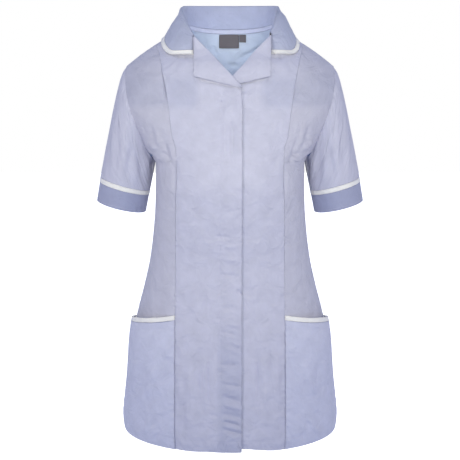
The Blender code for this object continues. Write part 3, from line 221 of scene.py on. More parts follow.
# Creases of the front and the side fronts, in x and z
FRONT_CREASES = creases((
    # Yoke and chest
    (-96, -1280, -98, -2100, 22, 6, 0),
    (37, -1260, 35, -2140, 24, 7, 0),
    (-165, -990, -120, -1090, 22, -4, 0),
    (-200, -960, -150, -990, 22, 5, 0),
    (-1140, -433, -1070, -1018, 27, 5, 0),
    (-1158, -768, -1096, -1068, 27, -6, 0),
    (1148, -768, 1085, -1068, 27, -6, 0),
    (1071, -668, 1035, -901, 22, 4, 0),
    (-734, -1824, -213, -1847, 44, -3, 17),
    (269, -1831, 810, -1810, 44, -3, -17),
    (-907, -1864, -771, -2427, 67, 4, 0),
    (914, -1865, 778, -2427, 67, 4, 0),
    (-1012, -618, -637, -768, 50, -4, 17),
    (1002, -618, 644, -768, 50, -4, -17),
    (-975, -1100, -567, -1230, 59, -3, 17),
    (982, -1100, 540, -1230, 59, -3, -17),
    # Armholes and underarms
    (-1577, -1972, -1245, -2068, 30, -17, 0),
    (1567, -1990, 1232, -2065, 30, -17, 0),
    (-1442, -1748, -1234, -1887, 54, 13, 0),
    (1451, -1749, 1242, -1887, 54, 13, 0),
    (-1198, -1918, -1051, -1991, 37, -10, 0),
    (1205, -1919, 1058, -1992, 37, -10, 0),
    (-1365, -1443, -1304, -1752, 40, -6, 0),
    (1354, -1442, 1293, -1751, 40, -6, 0),
    (-1136, -1656, -964, -2206, 44, -9, 17),
    (1143, -1656, 971, -2206, 44, -9, -17),
    (-1241, -1541, -1214, -1850, 44, 7, 0),
    (1230, -1540, 1202, -1849, 44, 7, 0),
    (-954, -2120, -944, -2651, 36, -6, 0),
    (943, -2119, 933, -2650, 36, -6, 0),
    (-1358, -1096, -1009, -1092, 27, 4, 0),
    (1348, -1095, 999, -1092, 27, 4, 0),
    (-1337, -1650, -1402, -1948, 50, -4, 0),
    (1326, -1649, 1388, -1944, 50, -4, 0),
    # Skirt
    (-538, -5263, -524, -6416, 47, -7, 0),
    (-381, -5380, -365, -6372, 44, -5, 0),
    (-697, -5395, -739, -6830, 76, 7, 0),
    (-451, -5629, -436, -6590, 34, 4, 0),
    (-912, -5643, -862, -6355, 50, 6, 0),
    (-807, -6169, -829, -6985, 34, -4, 0),
    (493, -5261, 531, -6416, 50, -7, 17),
    (721, -5185, 707, -6160, 44, -5, 0),
    (829, -5405, 853, -6625, 50, 6, 0),
    (617, -5744, 639, -6820, 42, 4, 0),
    (424, -5876, 497, -6684, 37, 4, 0),
    (493, -5454, 504, -6146, 50, -4, 0),
    (829, -5370, 815, -6260, 54, 3, 0),
    (-662, -5357, -647, -6245, 57, -3, 0),
    (-840, -5477, -861, -6265, 50, 3, 0),
    (315, -3945, 386, -4369, 50, 4, 0),
    (702, -4487, 562, -5002, 84, -4, 0),
    (-766, -4421, -661, -5007, 84, -4, 0),
    (-432, -4475, -520, -4861, 67, -4, 0),
    # Across the placket
    (-287, -3327, 38, -3361, 37, -7, 0),
    (-134, -3525, 226, -3489, 34, 4, 0),
    (-100, -3744, 228, -3781, 50, 5, 0),
    (-239, -4014, 212, -4067, 37, -7, 0),
    (108, -4277, 230, -4401, 34, -9, 0),
    (-153, -4644, 143, -4575, 44, -5, 0),
    (-66, -4870, 213, -4923, 40, 4, 0),
    (-206, -5010, 143, -5079, 40, -5, 0),
    (-66, -5166, 213, -5394, 40, -5, 0),
    (-224, -5605, 213, -5614, 50, -8, 0),
    (-84, -5760, 213, -5830, 37, 4, 0),
    (-154, -5940, 231, -5994, 40, -8, 0),
    (-172, -6144, 240, -6279, 49, -12, 8),
    (-172, -6287, 240, -6395, 39, 7, 0),
    (-190, -6447, 241, -6556, 47, -11, 7),
    (-155, -6599, 241, -6708, 47, -14, 7),
    (-172, -6734, 241, -6861, 44, -12, 5),
    (-383, -6480, -172, -6528, 37, -4, 0),
    (-419, -6967, -243, -6870, 37, -4, 0),
    (-223, -5167, -215, -6083, 30, -3, 0),
    # Below the edges of the lapels and the collar
    (-705, -659, 222, -849, 18, -10, 0),
    (780, -655, 104, -761, 18, -10, 0),
    (-1010, -300, -520, -312, 18, -10, 0),
    (1010, -300, 600, -312, 18, -10, 0),
))

# Creases of the back. The first four lie at the nape and show inside the neck.
BACK_CREASES = creases((
    (-469, 102, -372, -221, 20, 11, 10),
    (687, 8, 41, -349, 35, 14, -42),
    (-175, -404, 238, -461, 18, 13, -8),
    (-316, -331, -146, -147, 37, -6, 0),
    (-1500, -1850, -850, -2150, 60, -14, 20),
    (1500, -1830, 900, -2200, 60, -14, -20),
    (-1420, -1600, -950, -1750, 70, 11, 10),
    (1430, -1620, 900, -1800, 70, 11, -10),
    (-1000, -3000, -300, -3300, 70, -9, 30),
    (1050, -3100, 250, -3450, 70, -9, -30),
    (-1080, -3400, -400, -3620, 60, 8, 20),
    (1100, -3500, 400, -3780, 60, 8, -20),
    (-900, -3800, -200, -3950, 60, -8, 10),
    (850, -3900, 150, -4080, 60, -8, 10),
    (-700, -1000, -550, -2000, 80, 7, 0),
    (720, -950, 580, -2050, 80, 7, 0),
    (80, -2300, -50, -3600, 80, -7, 0),
    (-1300, -5200, -1420, -6700, 70, -10, 0),
    (1320, -5000, 1450, -6600, 70, -10, 0),
    (-820, -5600, -860, -6900, 50, 7, 0),
    (760, -5500, 830, -6850, 50, 7, 0),
    (240, -5400, 270, -6800, 50, -6, 0),
))

# Creases of a sleeve: x runs round it from the outermost line over the front, z down from the armhole.
SLEEVE_ROUND = 0.270
SLEEVE_DROP = 0.075
SLEEVE_CREASES = creases((
    (745, -220, 715, -690, 45, -6, 10),
    (635, -200, 635, -720, 91, 7, 0),
    (820, -280, 905, -680, 67, 7, 0),
    (930, -180, 975, -600, 68, -3, 0),
    (1060, 0, 1060, -520, 77, 6, 0),
    (505, -280, 540, -680, 70, -5, 0),
    (330, -180, 380, -580, 91, 4, 0),
    (1200, 60, 1260, -420, 63, -4, 0),
    (1620, -40, 1680, -580, 77, 7, 0),
    (1780, -140, 1810, -660, 59, -7, 0),
    (1950, -220, 1970, -710, 91, 6, 0),
    (2130, -140, 2110, -600, 63, -5, 0),
    (2320, -240, 2300, -680, 91, 4, 0),
))

# Creases of a pocket, in its own x and z, drawn for the wearer's right. The left one has the same.
POCKET_CREASES = creases((
    (-1020, -5450, -1180, -6000, 30, -6, 0),
    (-1060, -5300, -1150, -5600, 35, 5, 0),
    (-1250, -5550, -1480, -6400, 60, 10, 30),
    (-1480, -5650, -1640, -6400, 50, -12, 20),
    (-1600, -5600, -1740, -6200, 45, 7, 0),
    (-1150, -6000, -1260, -6700, 50, -7, 10),
    (-1050, -6500, -1500, -6900, 50, -6, 20),
    (-1500, -6550, -1700, -7000, 40, -11, 0),
    (-1400, -6650, -1560, -7050, 35, 8, 0),
    (-1250, -6800, -1350, -7120, 30, -8, 0),
    (-1100, -5000, -1600, -5250, 60, -7, 30),
))

# Creases of the collar: x runs from the centre of the back, z down the fall from the roll.
COLLAR_CREASES = creases((
    (1180, -40, 1360, -400, 60, -12, 20),
    (-1180, -40, -1360, -400, 60, -12, -20),
    (1500, -60, 1580, -440, 50, 8, 0),
    (-1500, -60, -1580, -440, 50, 8, 0),
    (600, -100, 720, -450, 70, -8, 0),
    (-520, -100, -640, -450, 70, -8, 0),
    (80, -120, 140, -500, 80, 6, 0),
))

# The placket's line of stitches, seen from the front.
PLACKET_STITCH = table(("height", "x"), (
    (-0.5989, -0.0172), (-0.4000, -0.0168), (-0.2696, -0.0165), (-0.1224, -0.0162), (-0.1126, -0.0157),
    (-0.1044, -0.0137), (-0.0995, -0.0096), (-0.0962, -0.0030),
))
# Every crease is drawn this many times as deep as its table says.
CREASE_GAIN = 3.6
# Each seam has its own puckers.
PRINCESS_SEEDS = {"right": 0.4, "left": 2.1}
SIDE_SEEDS = {"right": 1.2, "left": 3.3}
POCKET_SEEDS = (0.3, 1.1)


def smooth(rows, name, at, key="height"):
    """A named column at the places `at`: cubic pieces between the rows, which add no waves."""
    x, y = rows[key], rows[name]
    step = np.diff(x)
    slope = np.diff(y) / step
    same_way = slope[1:] * slope[:-1] > 0
    weight_a = 2 * step[1:] + step[:-1]
    weight_b = step[1:] + 2 * step[:-1]
    with np.errstate(divide="ignore", invalid="ignore"):
        mean = (weight_a + weight_b) / (weight_a / slope[:-1] + weight_b / slope[1:])
    tangent = np.concatenate(([slope[0]], np.where(same_way, mean, 0.0), [slope[-1]]))
    at = np.clip(at, x[0], x[-1])
    i = np.clip(np.searchsorted(x, at) - 1, 0, len(x) - 2)
    t = (at - x[i]) / step[i]
    return ((1 + 2 * t) * (1 - t) ** 2 * y[i] + t * (1 - t) ** 2 * step[i] * tangent[i]
            + t ** 2 * (3 - 2 * t) * y[i + 1] + t ** 2 * (t - 1) * step[i] * tangent[i + 1])


def ramp(value, start, end):
    """0 before start, 1 after end, and 3t^2 - 2t^3 between."""
    t = np.clip((value - start) / (end - start), 0.0, 1.0)
    return t * t * (3 - 2 * t)


def refine(values, longest):
    """The values with each step divided into equal parts no longer than `longest`."""
    values = np.asarray(values, float)
    made = [values[:1]]
    for a, b in zip(values[:-1], values[1:]):
        count = max(1, math.ceil(abs(b - a) / longest))
        made.append(a + (b - a) * np.arange(1, count + 1) / count)
    return np.concatenate(made)


def shoulder_z(x, side):
    """Height of the shoulder seam at x."""
    out = np.maximum(np.abs(x), NECK_HALF) - SHOULDER_BASE_X
    inside = np.maximum(NECK_HALF - np.abs(x), 0.0)
    rise = FRONT_NECK_RISE if side < 0 else BACK_NECK_RISE
    return SHOULDER_BASE_Z - SHOULDER_SLOPE * out - SHOULDER_DROOP * out ** SHOULDER_POWER + rise * inside


def section(z, side):
    """Half width, depth and roundness of the level section at height z."""
    depth = "front_depth" if side < 0 else "back_depth"
    return (smooth(TORSO, name, z) for name in ("half_width", depth, "roundness"))


def flatness(x, half, power, widest=1.0):
    """The share of its full depth that a section has at x: (1 - |x / half|^p)^(1/p)."""
    return (1 - np.clip(np.abs(x) / half, 0, widest) ** power) ** (1 / power)


def body_y(x, z, side):
    """Depth of the surface: depth * flatness, times sqrt(1 - (1 - b)^2) where b * ARCH is the shoulder's
    height above it."""
    half, deep, power = section(z, side)
    below = np.clip((shoulder_z(x, side) - z) / ARCH, 0.0, 1.0)
    return side * deep * flatness(x, half, power) * np.sqrt(1 - (1 - below) ** 2)


def bearing(x, z, side):
    """Angle round the section, from the centre of the front or back, of the place at x."""
    half, deep, power = section(z, side)
    return np.arctan2(x, deep * flatness(x, half, power))


def across(angle, z, side):
    """The x of a bearing on the section at height z."""
    half, deep, power = section(z, side)
    radius = np.abs(np.sin(angle) / half) ** power + np.abs(np.cos(angle) / deep) ** power
    return np.sin(angle) * radius ** (-1 / power)


def relief(x, z, side):
    """How far the broad folds lift the cloth: depth * exp(-((x - centre) / width)^2) along each line."""
    lift = np.zeros(np.broadcast(x, z).shape)
    for i in np.flatnonzero(FOLDS["side"] == side):
        fold = {name: column[i] for name, column in FOLDS.items()}
        along = (fold["z_top"] - z) / (fold["z_top"] - fold["z_low"])
        centre = fold["x_top"] + (fold["x_low"] - fold["x_top"]) * along
        width = fold["half_width"] * (0.6 + 0.5 * np.clip(along, 0, 1.2))
        length = ramp(along, 0.0, 0.6)
        if fold["z_low"] > HEM_Z:
            length = ramp(along, 0.0, 0.4) * ramp(1 - along, 0.0, 0.4)
        lift = lift + fold["depth"] * length * np.exp(-((x - centre) / width) ** 2)
    return lift


def creased(x, z, rows):
    """The sum of the creases: depth * exp(-(d / half_width)^2), faded towards both ends of each."""
    lift = np.zeros(np.broadcast(x, z).shape)
    for i in range(len(rows["x_from"])):
        c = {name: column[i] for name, column in rows.items()}
        run = np.array((c["x_to"] - c["x_from"], c["z_to"] - c["z_from"]))
        length = np.hypot(*run)
        t = ((x - c["x_from"]) * run[0] + (z - c["z_from"]) * run[1]) / length ** 2
        d = ((x - c["x_from"]) * run[1] - (z - c["z_from"]) * run[0]) / length
        d = d - c["bend"] * 4 * np.clip(t, 0, 1) * np.clip(1 - t, 0, 1)
        fade = ramp(t, 0.0, 0.35) * ramp(1 - t, 0.0, 0.35)
        width = c["half_width"] * (0.65 + 0.35 * fade)
        lift = lift + CREASE_GAIN * c["depth"] * fade * np.exp(-(d / width) ** 2)
    return lift


def uneven(at, pitch, seed):
    """A wave of about that pitch whose height and spacing change along it, from -1 to 1."""
    phase = 2 * np.pi * at / pitch
    drift = 1.9 * np.sin(phase * 0.173 + seed) + 1.3 * np.sin(phase * 0.071 + 2.3 * seed)
    strength = 0.55 + 0.45 * np.sin(phase * 0.117 + 1.7 * seed) * np.sin(phase * 0.043 + seed)
    return np.sin(phase + drift) * strength


def unit(vectors):
    """The vectors, each with a length of 1."""
    return vectors / np.maximum(np.linalg.norm(vectors, axis=-1, keepdims=True), 1e-12)


def surface_normal(x, z, side):
    """The direction out of the garment at (x, z), from small steps to each side."""
    h = 1e-4
    slope_x = (body_y(x + h, z, side) - body_y(x - h, z, side)) / (2 * h)
    slope_z = (body_y(x, z + h, side) - body_y(x, z - h, side)) / (2 * h)
    return unit(np.stack([-side * slope_x, side * np.ones_like(slope_x), -side * slope_z], axis=-1))


def on_body(x, z, side, lift=0.0):
    """A place on the garment's surface, moved out along its normal."""
    x, z, lift = np.broadcast_arrays(np.asarray(x, float), np.asarray(z, float), lift)
    base = np.stack([x, body_y(x, z, side), z], axis=-1)
    return base + surface_normal(x, z, side) * lift[..., None]


def lengths(points, axis):
    """Lengths along one axis of a grid, from its start."""
    step = np.linalg.norm(np.diff(points, axis=axis), axis=-1)
    pad = [(0, 0), (0, 0)]
    pad[axis] = (1, 0)
    return np.cumsum(np.pad(step, pad), axis=axis)


def run(line):
    """Lengths along a line from its start."""
    return np.concatenate(([0.0], np.cumsum(np.linalg.norm(np.diff(line, axis=0), axis=1))))


def at_lengths(wanted, length, points):
    """The points of a line at some of its lengths."""
    return np.stack([np.interp(wanted, length, points[..., k].reshape(-1)) for k in range(3)], axis=-1)


def index_of(wanted, values):
    """Where a value lies in a line of values that rise or fall, as a number between two indices."""
    order = np.argsort(values)
    return np.interp(wanted, values[order], order)


class Sheet:
    """A piece of cloth as a grid of points with a direction out of the cloth at each."""

    def __init__(self, points, normals, wrap=False, level=None):
        self.points = points
        self.normals = normals
        self.wrap = wrap
        self.level = level

    def trim(self, start_column=0.0, end_column=0.0, start_row=0.0, end_row=0.0):
        """Cut each edge back by a length, towards its neighbours."""
        p = self.points
        for amount, edge, inner in ((start_column, (0, slice(None)), (1, slice(None))),
                                    (end_column, (-1, slice(None)), (-2, slice(None))),
                                    (start_row, (slice(None), 0), (slice(None), 1)),
                                    (end_row, (slice(None), -1), (slice(None), -2))):
            if amount:
                p[edge] = p[edge] + unit(p[inner] - p[edge]) * amount
        return self

    def like(self, points, normals):
        """A sheet of the same kind with other points."""
        return Sheet(points, normals, self.wrap, self.level)

    def moved(self, lift):
        """The same sheet, moved out along its normals."""
        lift = np.broadcast_to(lift, self.points.shape[:2])
        return self.like(self.points + self.normals * lift[..., None], self.normals.copy())

    def faced(self):
        """The same sheet with its normals taken from its own points, on the side they point to."""
        normals = own_normals(self.points, self.wrap)
        flip = np.sign(np.sum(normals * self.normals, axis=-1, keepdims=True))
        return self.like(self.points, normals * np.where(flip == 0, 1, flip))

    def mirrored(self, mirror):
        """The sheet itself, or its image on the wearer's other side."""
        if mirror > 0:
            return self
        return self.like((self.points * FLIP)[::-1], (self.normals * FLIP)[::-1])

    def grain(self):
        """UV in metres: across and down the cloth. Where one row is level, both count from it.

        A tube's starts half way round, at its seam under the arm.
        """
        half = len(self.points) // 2 if self.wrap else 0
        points = np.roll(self.points, -half, axis=0)
        if self.level is None:
            u, v = lengths(points, 0), lengths(points, 1)
        else:
            u, v = lengths(points[..., :2], 0), lengths(points, 1)
            v = v - v[:, self.level:self.level + 1]
        return np.roll(np.stack([u - u[len(u) // 2], v], axis=-1), half, axis=0).reshape(-1, 2)

    def edges(self):
        """Distances from the first and last column and from the first and last row."""
        u, v = lengths(self.points, 0), lengths(self.points, 1)
        return u, u[-1:] - u, v, v[:, -1:] - v


def own_normals(points, wrap=False):
    """Normals of a grid from its own points: the step across times the step down."""
    sideways = np.roll(points, -1, 0) - np.roll(points, 1, 0) if wrap else np.gradient(points, axis=0)
    return unit(np.cross(sideways, np.gradient(points, axis=1)))


def body_sheet(x, z, side, lift=0.0, level=None):
    """A sheet on the garment's surface, moved out along the surface's normals."""
    return Sheet(on_body(x, z, side, lift), surface_normal(x, z, side), level=level)


def groove(distance, depth=0.0006, half_width=0.0018):
    """A dip along an edge or a line of stitches: -depth * exp(-(d / half_width)^2)."""
    return -depth * np.exp(-(distance / half_width) ** 2)


def pucker(distance, along, pitch, depth, seed, reach=0.005):
    """Small puckers beside a seam: depth * wave(along) * exp(-((d - reach / 2) / reach)^2)."""
    return depth * uneven(along, pitch, seed) * np.exp(-((distance - reach / 2) / reach) ** 2)


def hem_curl(z):
    """The hem turns in a little: -HEM_CURL * (1 - height / HEM_CURL_HEIGHT)^2 above its edge."""
    return -HEM_CURL * np.clip(1 - (z - HEM_Z) / HEM_CURL_HEIGHT, 0, 1) ** 2


def hem_sewing(x, z):
    """The dip along the hem's stitches, and the puckers that slant across what is turned up."""
    height = z - HEM_Z
    turned = np.exp(-((height - 0.012) / 0.010) ** 2)
    return groove(height - HEM_TURN, 0.0005) + 0.00045 * turned * uneven(x + 0.35 * height, 0.013, 1.3)


def place_object(name, data):
    """A new object of the scene, with this mesh, lamp or camera."""
    thing = bpy.data.objects.new(name, data)
    bpy.context.scene.collection.objects.link(thing)
    return thing


def add_mesh(name, vertices, faces, finish, uv=None, turn=0.0, **values):
    """A named object from arrays of points and four-cornered faces, with its UV in metres.

    A tube's UV goes up by `turn` once round. Other arrays are kept as values of the points.
    """
    mesh = bpy.data.meshes.new(name)
    mesh.from_pydata(vertices, [], faces.tolist())
    for key, value in values.items():
        mesh.attributes.new(key, "FLOAT", "POINT").data.foreach_set("value", value.astype(np.float32))
    if uv is not None:
        layer = mesh.uv_layers.new(name="UVMap")
        corner = uv[faces]
        if turn:
            far = np.ptp(corner[..., 0], axis=1, keepdims=True) > turn / 2
            corner[..., 0] += turn * (far & (corner[..., 0] < uv[:, 0].mean()))
        layer.data.foreach_set("uv", corner.reshape(-1).astype(np.float32))
    mesh.materials.append(finish)
    mesh.shade_smooth()
    mesh.update()
    return place_object(name, mesh)


def quads(a, wrap):
    """Faces of a grid of point numbers."""
    n = np.roll(a, -1, 0) if wrap else a[1:]
    b = a if wrap else a[:-1]
    return np.stack([b[:, :-1], n[:, :-1], n[:, 1:], b[:, 1:]], axis=-1).reshape(-1, 4)


def shell(name, sheet, finish, thickness=CLOTH):
    """A closed wall along a sheet, with a rim round its border that stands out by RIM of half the wall."""
    p, n, wrap = sheet.points, sheet.normals, sheet.wrap
    columns, rows = p.shape[:2]
    half = np.broadcast_to(np.asarray(thickness, float) / 2, (columns, rows))[..., None]
    count = columns * rows
    grid = np.arange(count).reshape(columns, rows)
    layers = [(p + n * half).reshape(-1, 3), (p - n * half).reshape(-1, 3)]
    faces = [quads(grid, wrap), quads(grid + count, wrap)[:, ::-1]]
    uv = [sheet.grain()] * 2
    if wrap:
        borders = [(grid[:, 0][::-1], (p[:, 0] - p[:, 1])[::-1]), (grid[:, -1], p[:, -1] - p[:, -2])]
    else:
        loop = np.concatenate([grid[:-1, 0], grid[-1, :-1], grid[:0:-1, -1], grid[0, :0:-1]])
        away = np.zeros_like(p)
        away[:, 0] += unit(p[:, 0] - p[:, 1])
        away[:, -1] += unit(p[:, -1] - p[:, -2])
        away[0] += unit(p[0] - p[1])
        away[-1] += unit(p[-1] - p[-2])
        borders = [(loop[::-1], away.reshape(-1, 3)[loop[::-1]])]
    made = 2 * count
    flat_p, flat_half = p.reshape(-1, 3), half.reshape(-1, 1)
    for loop, away in borders:
        layers.append(flat_p[loop] + unit(away) * flat_half[loop] * RIM)
        uv.append(uv[0][loop])
        middle = made + np.arange(len(loop))
        made += len(loop)
        for first, second in ((loop, middle), (middle, loop + count)):
            faces.append(np.stack([first, second, np.roll(second, -1), np.roll(first, -1)], axis=-1))
    vertices, faces = np.concatenate(layers), np.concatenate(faces)
    corner = vertices[faces]
    spread = np.cross(corner[:, 2] - corner[:, 0], corner[:, 3] - corner[:, 1])
    if np.sum(corner.mean(axis=1) * spread) < 0:
        faces = faces[:, ::-1]
    inside = np.where(np.arange(len(vertices)) // count == 1, 1.0, 0.0)
    turn = np.ptp(uv[0][:, 0]) * columns / (columns - 1) if wrap else 0.0
    return add_mesh(name, vertices, faces, finish, np.concatenate(uv), turn, inside=inside)


def cloth(node, sheet, finish, thickness=CLOTH):
    """A shell that replaces a node."""
    thing = shell(node + "_cloth", sheet, finish, thickness)
    p = sheet.points
    closed = np.concatenate([p, p[:1]]) if sheet.wrap else p
    a, b = closed[1:, 1:] - closed[:-1, :-1], closed[1:, :-1] - closed[:-1, 1:]
    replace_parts(thing, node)
    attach(thing, "garment")


def hemmed_cloth(node, sheet, finish):
    """A panel of the body, whose wall is thicker inside where the hem is turned up."""
    thickness = CLOTH + HEM_EXTRA * ramp(HEM_TURN + 0.0006 - sheet.edges()[3], 0.0, 0.0010)
    cloth(node, sheet.moved((CLOTH - thickness) / 2), finish, thickness)


# Places and edges of the panels

def princess_x(z):
    """The princess seam's x at a height."""
    return smooth(PRINCESS, "x", z)


def side_x(z):
    """The armhole's x above the underarm, and the side seam's below it."""
    return np.where(z > UNDERARM_Z, smooth(ARMHOLE, "x", z), smooth(TORSO, "half_width", z))


NECK_POINT_Z = float(shoulder_z(NECK_HALF, -1))


def nape_edge(x):
    """Height of the back's upper edge between the neck points."""
    return NAPE_Z + (NECK_POINT_Z - NAPE_Z) * (np.minimum(np.abs(x), NECK_HALF) / NECK_HALF) ** 3


def front_top(x, cut, mirror):
    """Upper edge of a front: the shoulder seam, the neck seam down to the gorge, then the roll line."""
    x = np.asarray(x) * mirror
    (gorge, gorge_z), (foot, foot_z) = (cut[name] * (mirror, 1) for name in ("gorge", "foot"))
    roll = gorge_z + (foot_z - gorge_z) * (x - gorge) / (foot - gorge)
    neck = NECK_POINT_Z + (gorge_z - NECK_POINT_Z) * (-NECK_HALF - x) / (-NECK_HALF - gorge)
    return np.where(x < -NECK_HALF, shoulder_z(x, -1), np.where(x < gorge, neck, roll))


SETTLING_ROUNDS = 40


def settle_top(edge, place, columns):
    """The height at which each column of a panel meets its upper edge, by repeated halving."""
    low = np.full((columns, 1), YOKE_Z)
    high = np.full((columns, 1), TORSO["height"][-1])
    for _ in range(SETTLING_ROUNDS):
        middle = (low + high) / 2
        under = edge(place(middle)) > middle
        low = np.where(under, middle, low)
        high = np.where(under, high, middle)
    return low


# Rows of a panel: from its upper edge to the yoke line, level ones, and those that end on the hem
UPPER_SHARES = np.linspace(0, 1, 44)[:-1] ** 2
ROW_STEP = 0.0022
LAST_LEVEL = -0.682
LEVELS = refine((YOKE_Z,) + ARMHOLE_LEVELS + (LAST_LEVEL,), ROW_STEP)
HEM_SHARES = np.linspace(0, 1, 18)[1:]


def panel(side, place, columns, top, hem, lift):
    """A panel of the body. `place` gives the x of every column at a height."""
    z_top = settle_top(top, place, columns)
    upper = z_top + (YOKE_Z - z_top) * UPPER_SHARES
    level = np.broadcast_to(LEVELS, (columns, len(LEVELS)))
    last = np.full((columns, 1), LEVELS[-1])
    low = last + (hem(place(np.full((columns, 1), HEM_Z))) - last) * HEM_SHARES
    z = np.concatenate([upper, level, low], axis=1)
    x = place(z)
    sheet = body_sheet(x, z, side, level=len(UPPER_SHARES))
    made = sheet.moved(relief(x, z, side) + lift(x, z, sheet)).faced()
    made.normals[:, 0] = sheet.normals[:, 0]
    return made


def between(left, right, spread, side):
    """Columns that divide the bearing between two seams in the shares `spread`."""
    def place(z):
        low = bearing(left(z), z, side)
        high = bearing(right(z), z, side)
        return across(low + (high - low) * spread[:, None], z, side)
    return place


def beside_opening(start_x, mirror, top):
    """Columns from the given x on the upper edge, the outermost along the princess seam.

    Those within STRAIGHT_X of the middle are straight.
    """
    start = start_x[:, None]
    follow = np.clip((start * mirror - STRAIGHT_X) / (start[0] * mirror - STRAIGHT_X), 0, 1)
    seam_start = princess_x(top(start))

    def place(z):
        return start - mirror * follow * (seam_start - princess_x(z))
    return place


def level_hem(x):
    """The hem of every piece but the under front."""
    return np.full_like(x, HEM_Z)


def left_front_hem(x):
    """The under front is a little shorter at its edge and level with the rest at the seam."""
    return HEM_Z + LEFT_FRONT_SHORTER * ramp(LEFT_HEM_LEVEL_X - x, 0.0, 0.070)


def fly_lift(x, z):
    """The placket stands out over the zip, and further over its slider."""
    over_zip = np.exp(-(np.abs(x) / ZIP_HALF_WIDTH) ** 4)
    ridge = OVER_ZIP * ramp(-z, 0.100, 0.112) * ramp(z, -0.615, -0.590)
    slider = OVER_SLIDER * ramp(-z, 0.0835, 0.0945) * ramp(z, -0.142, -0.118)
    return over_zip * (ridge + slider)


def under_lift(x, z):
    """How far the under front lies below the placket: furthest where the other lapel tucks in."""
    base = -UNDER_FLY * ramp(0.050 - x, 0.0, 0.022)
    tuck = -UNDER_LAPEL * ramp(0.046 - x, 0.0, 0.022) * ramp(z, -0.0945, -0.0865)
    return base + tuck


def shoulder_seam_x():
    """Where the princess seam meets the shoulder seam."""
    x = NECK_HALF
    for _ in range(SETTLING_ROUNDS):
        x = float(princess_x(shoulder_z(x, -1)))
    return x


SHOULDER_SEAM_X = shoulder_seam_x()
STRAIGHT_X = 0.030
COLUMN_STEP = 0.0016
BACK_COLUMN_STEP = 0.0026
FRONT_START_X = refine((-SHOULDER_SEAM_X, -NECK_HALF, REVERS_RIGHT["gorge"][0], -STRAIGHT_X, FLY_EDGE_X),
                       COLUMN_STEP)
UNDER_START_X = refine((SHOULDER_SEAM_X, NECK_HALF, REVERS_LEFT["gorge"][0], STRAIGHT_X, LEFT_EDGE_X),
                       COLUMN_STEP)
SIDE_SPREAD = np.linspace(0, 1, 60)


def front_folds(x, z):
    """Creases and small waves across the placket, shared by all the layers of the front."""
    within = np.exp(-((x - PLACKET_MIDDLE) / PLACKET_HALF_WIDTH) ** 4)
    gather = (0.12 + 0.88 * ramp(-z, 0.32, 0.60)) * ramp(-z, 0.10, 0.16)
    waves = 0.00055 * uneven(z + 0.25 * x, 0.0125, 0.4) + 0.00035 * uneven(z - 0.4 * x, 0.0072, 1.9)
    return creased(x, z, FRONT_CREASES) + within * gather * waves


def body_lift(side, mirror, *seeds):
    """Creases, hem and sewn edges of a body panel. The seeds are for the puckers of its first column
    and, where there are two, of its last one."""
    def lift(x, z, sheet):
        folds = front_folds(x * mirror, z) if side < 0 else creased(x, z, BACK_CREASES)
        made = folds + hem_curl(z) + hem_sewing(x * mirror, z)
        strength = 0.2 + 0.6 * ramp(-z, 0.34, 0.44) * ramp(z + 0.72, 0.0, 0.03)
        for distance, seed in zip(sheet.edges(), seeds):
            deep = 0.8 + 0.35 * uneven(z, 0.031, seed)
            made = made + groove(distance, 0.0007) * strength * deep
            made = made + pucker(distance, z, 0.011, 0.0006, seed) * strength
        return made
    return lift


def placket_sewing(x, z):
    """The dip of the placket's stitches, with its puckers."""
    away = x - smooth(PLACKET_STITCH, "x", z)
    on_line = ramp(-z, 0.0955, 0.1000) * ramp(z, -0.601, -0.597)
    return on_line * (groove(away, 0.0005, 0.0015) + pucker(np.abs(away), z, 0.0085, 0.0003, 0.7, 0.004))


def fronts():
    """The two fronts, meeting the side fronts at the princess seams.

    Above the chest their inner edges are pulled over to the foot of the roll line.
    """
    def right_top(x):
        return front_top(x, REVERS_RIGHT, 1)

    def left_top(x):
        return front_top(x, REVERS_LEFT, -1)

    right_columns = beside_opening(FRONT_START_X, -1, right_top)
    left_columns = beside_opening(UNDER_START_X, 1, left_top)

    def right_place(z):
        x = right_columns(z)
        pull = REVERS_RIGHT["foot"][0] - FLY_EDGE_X
        return x + pull * ramp(x, 0.011, FLY_EDGE_X) * ramp(z, -0.110, -0.0825)

    def left_place(z):
        x = left_columns(z)
        pull = REVERS_LEFT["foot"][0] - LEFT_EDGE_X
        return x + pull * ramp(0.040 - x, 0.0, 0.040 - LEFT_EDGE_X) * ramp(z, -0.094, -0.0765)

    right_sewn, left_sewn = (body_lift(-1, 1, PRINCESS_SEEDS[name]) for name in ("right", "left"))

    def right_lift(x, z, sheet):
        edge = groove(sheet.edges()[1], FLY_ROLL, 0.0022)
        return right_sewn(x, z, sheet) + fly_lift(x, z) + placket_sewing(x, z) + edge

    def left_lift(x, z, sheet):
        beside = groove(x - FLY_EDGE_X - 0.0008, BESIDE_FLY, 0.0020) * ramp(-z, 0.085, 0.10)
        return left_sewn(x, z, sheet) + under_lift(x, z) + beside

    right = panel(-1, right_place, len(FRONT_START_X), right_top, level_hem, right_lift)
    left = panel(-1, left_place, len(UNDER_START_X), left_top, left_front_hem, left_lift)
    return right, left


def side_front(mirror):
    """The panel between a princess seam and the armhole and side seam, drawn on the +X side."""
    name = "left" if mirror > 0 else "right"
    columns = between(princess_x, side_x, SIDE_SPREAD, -1)
    lift = body_lift(-1, mirror, PRINCESS_SEEDS[name], SIDE_SEEDS[name])
    return panel(-1, columns, len(SIDE_SPREAD), lambda x: shoulder_z(x, -1), level_hem, lift)


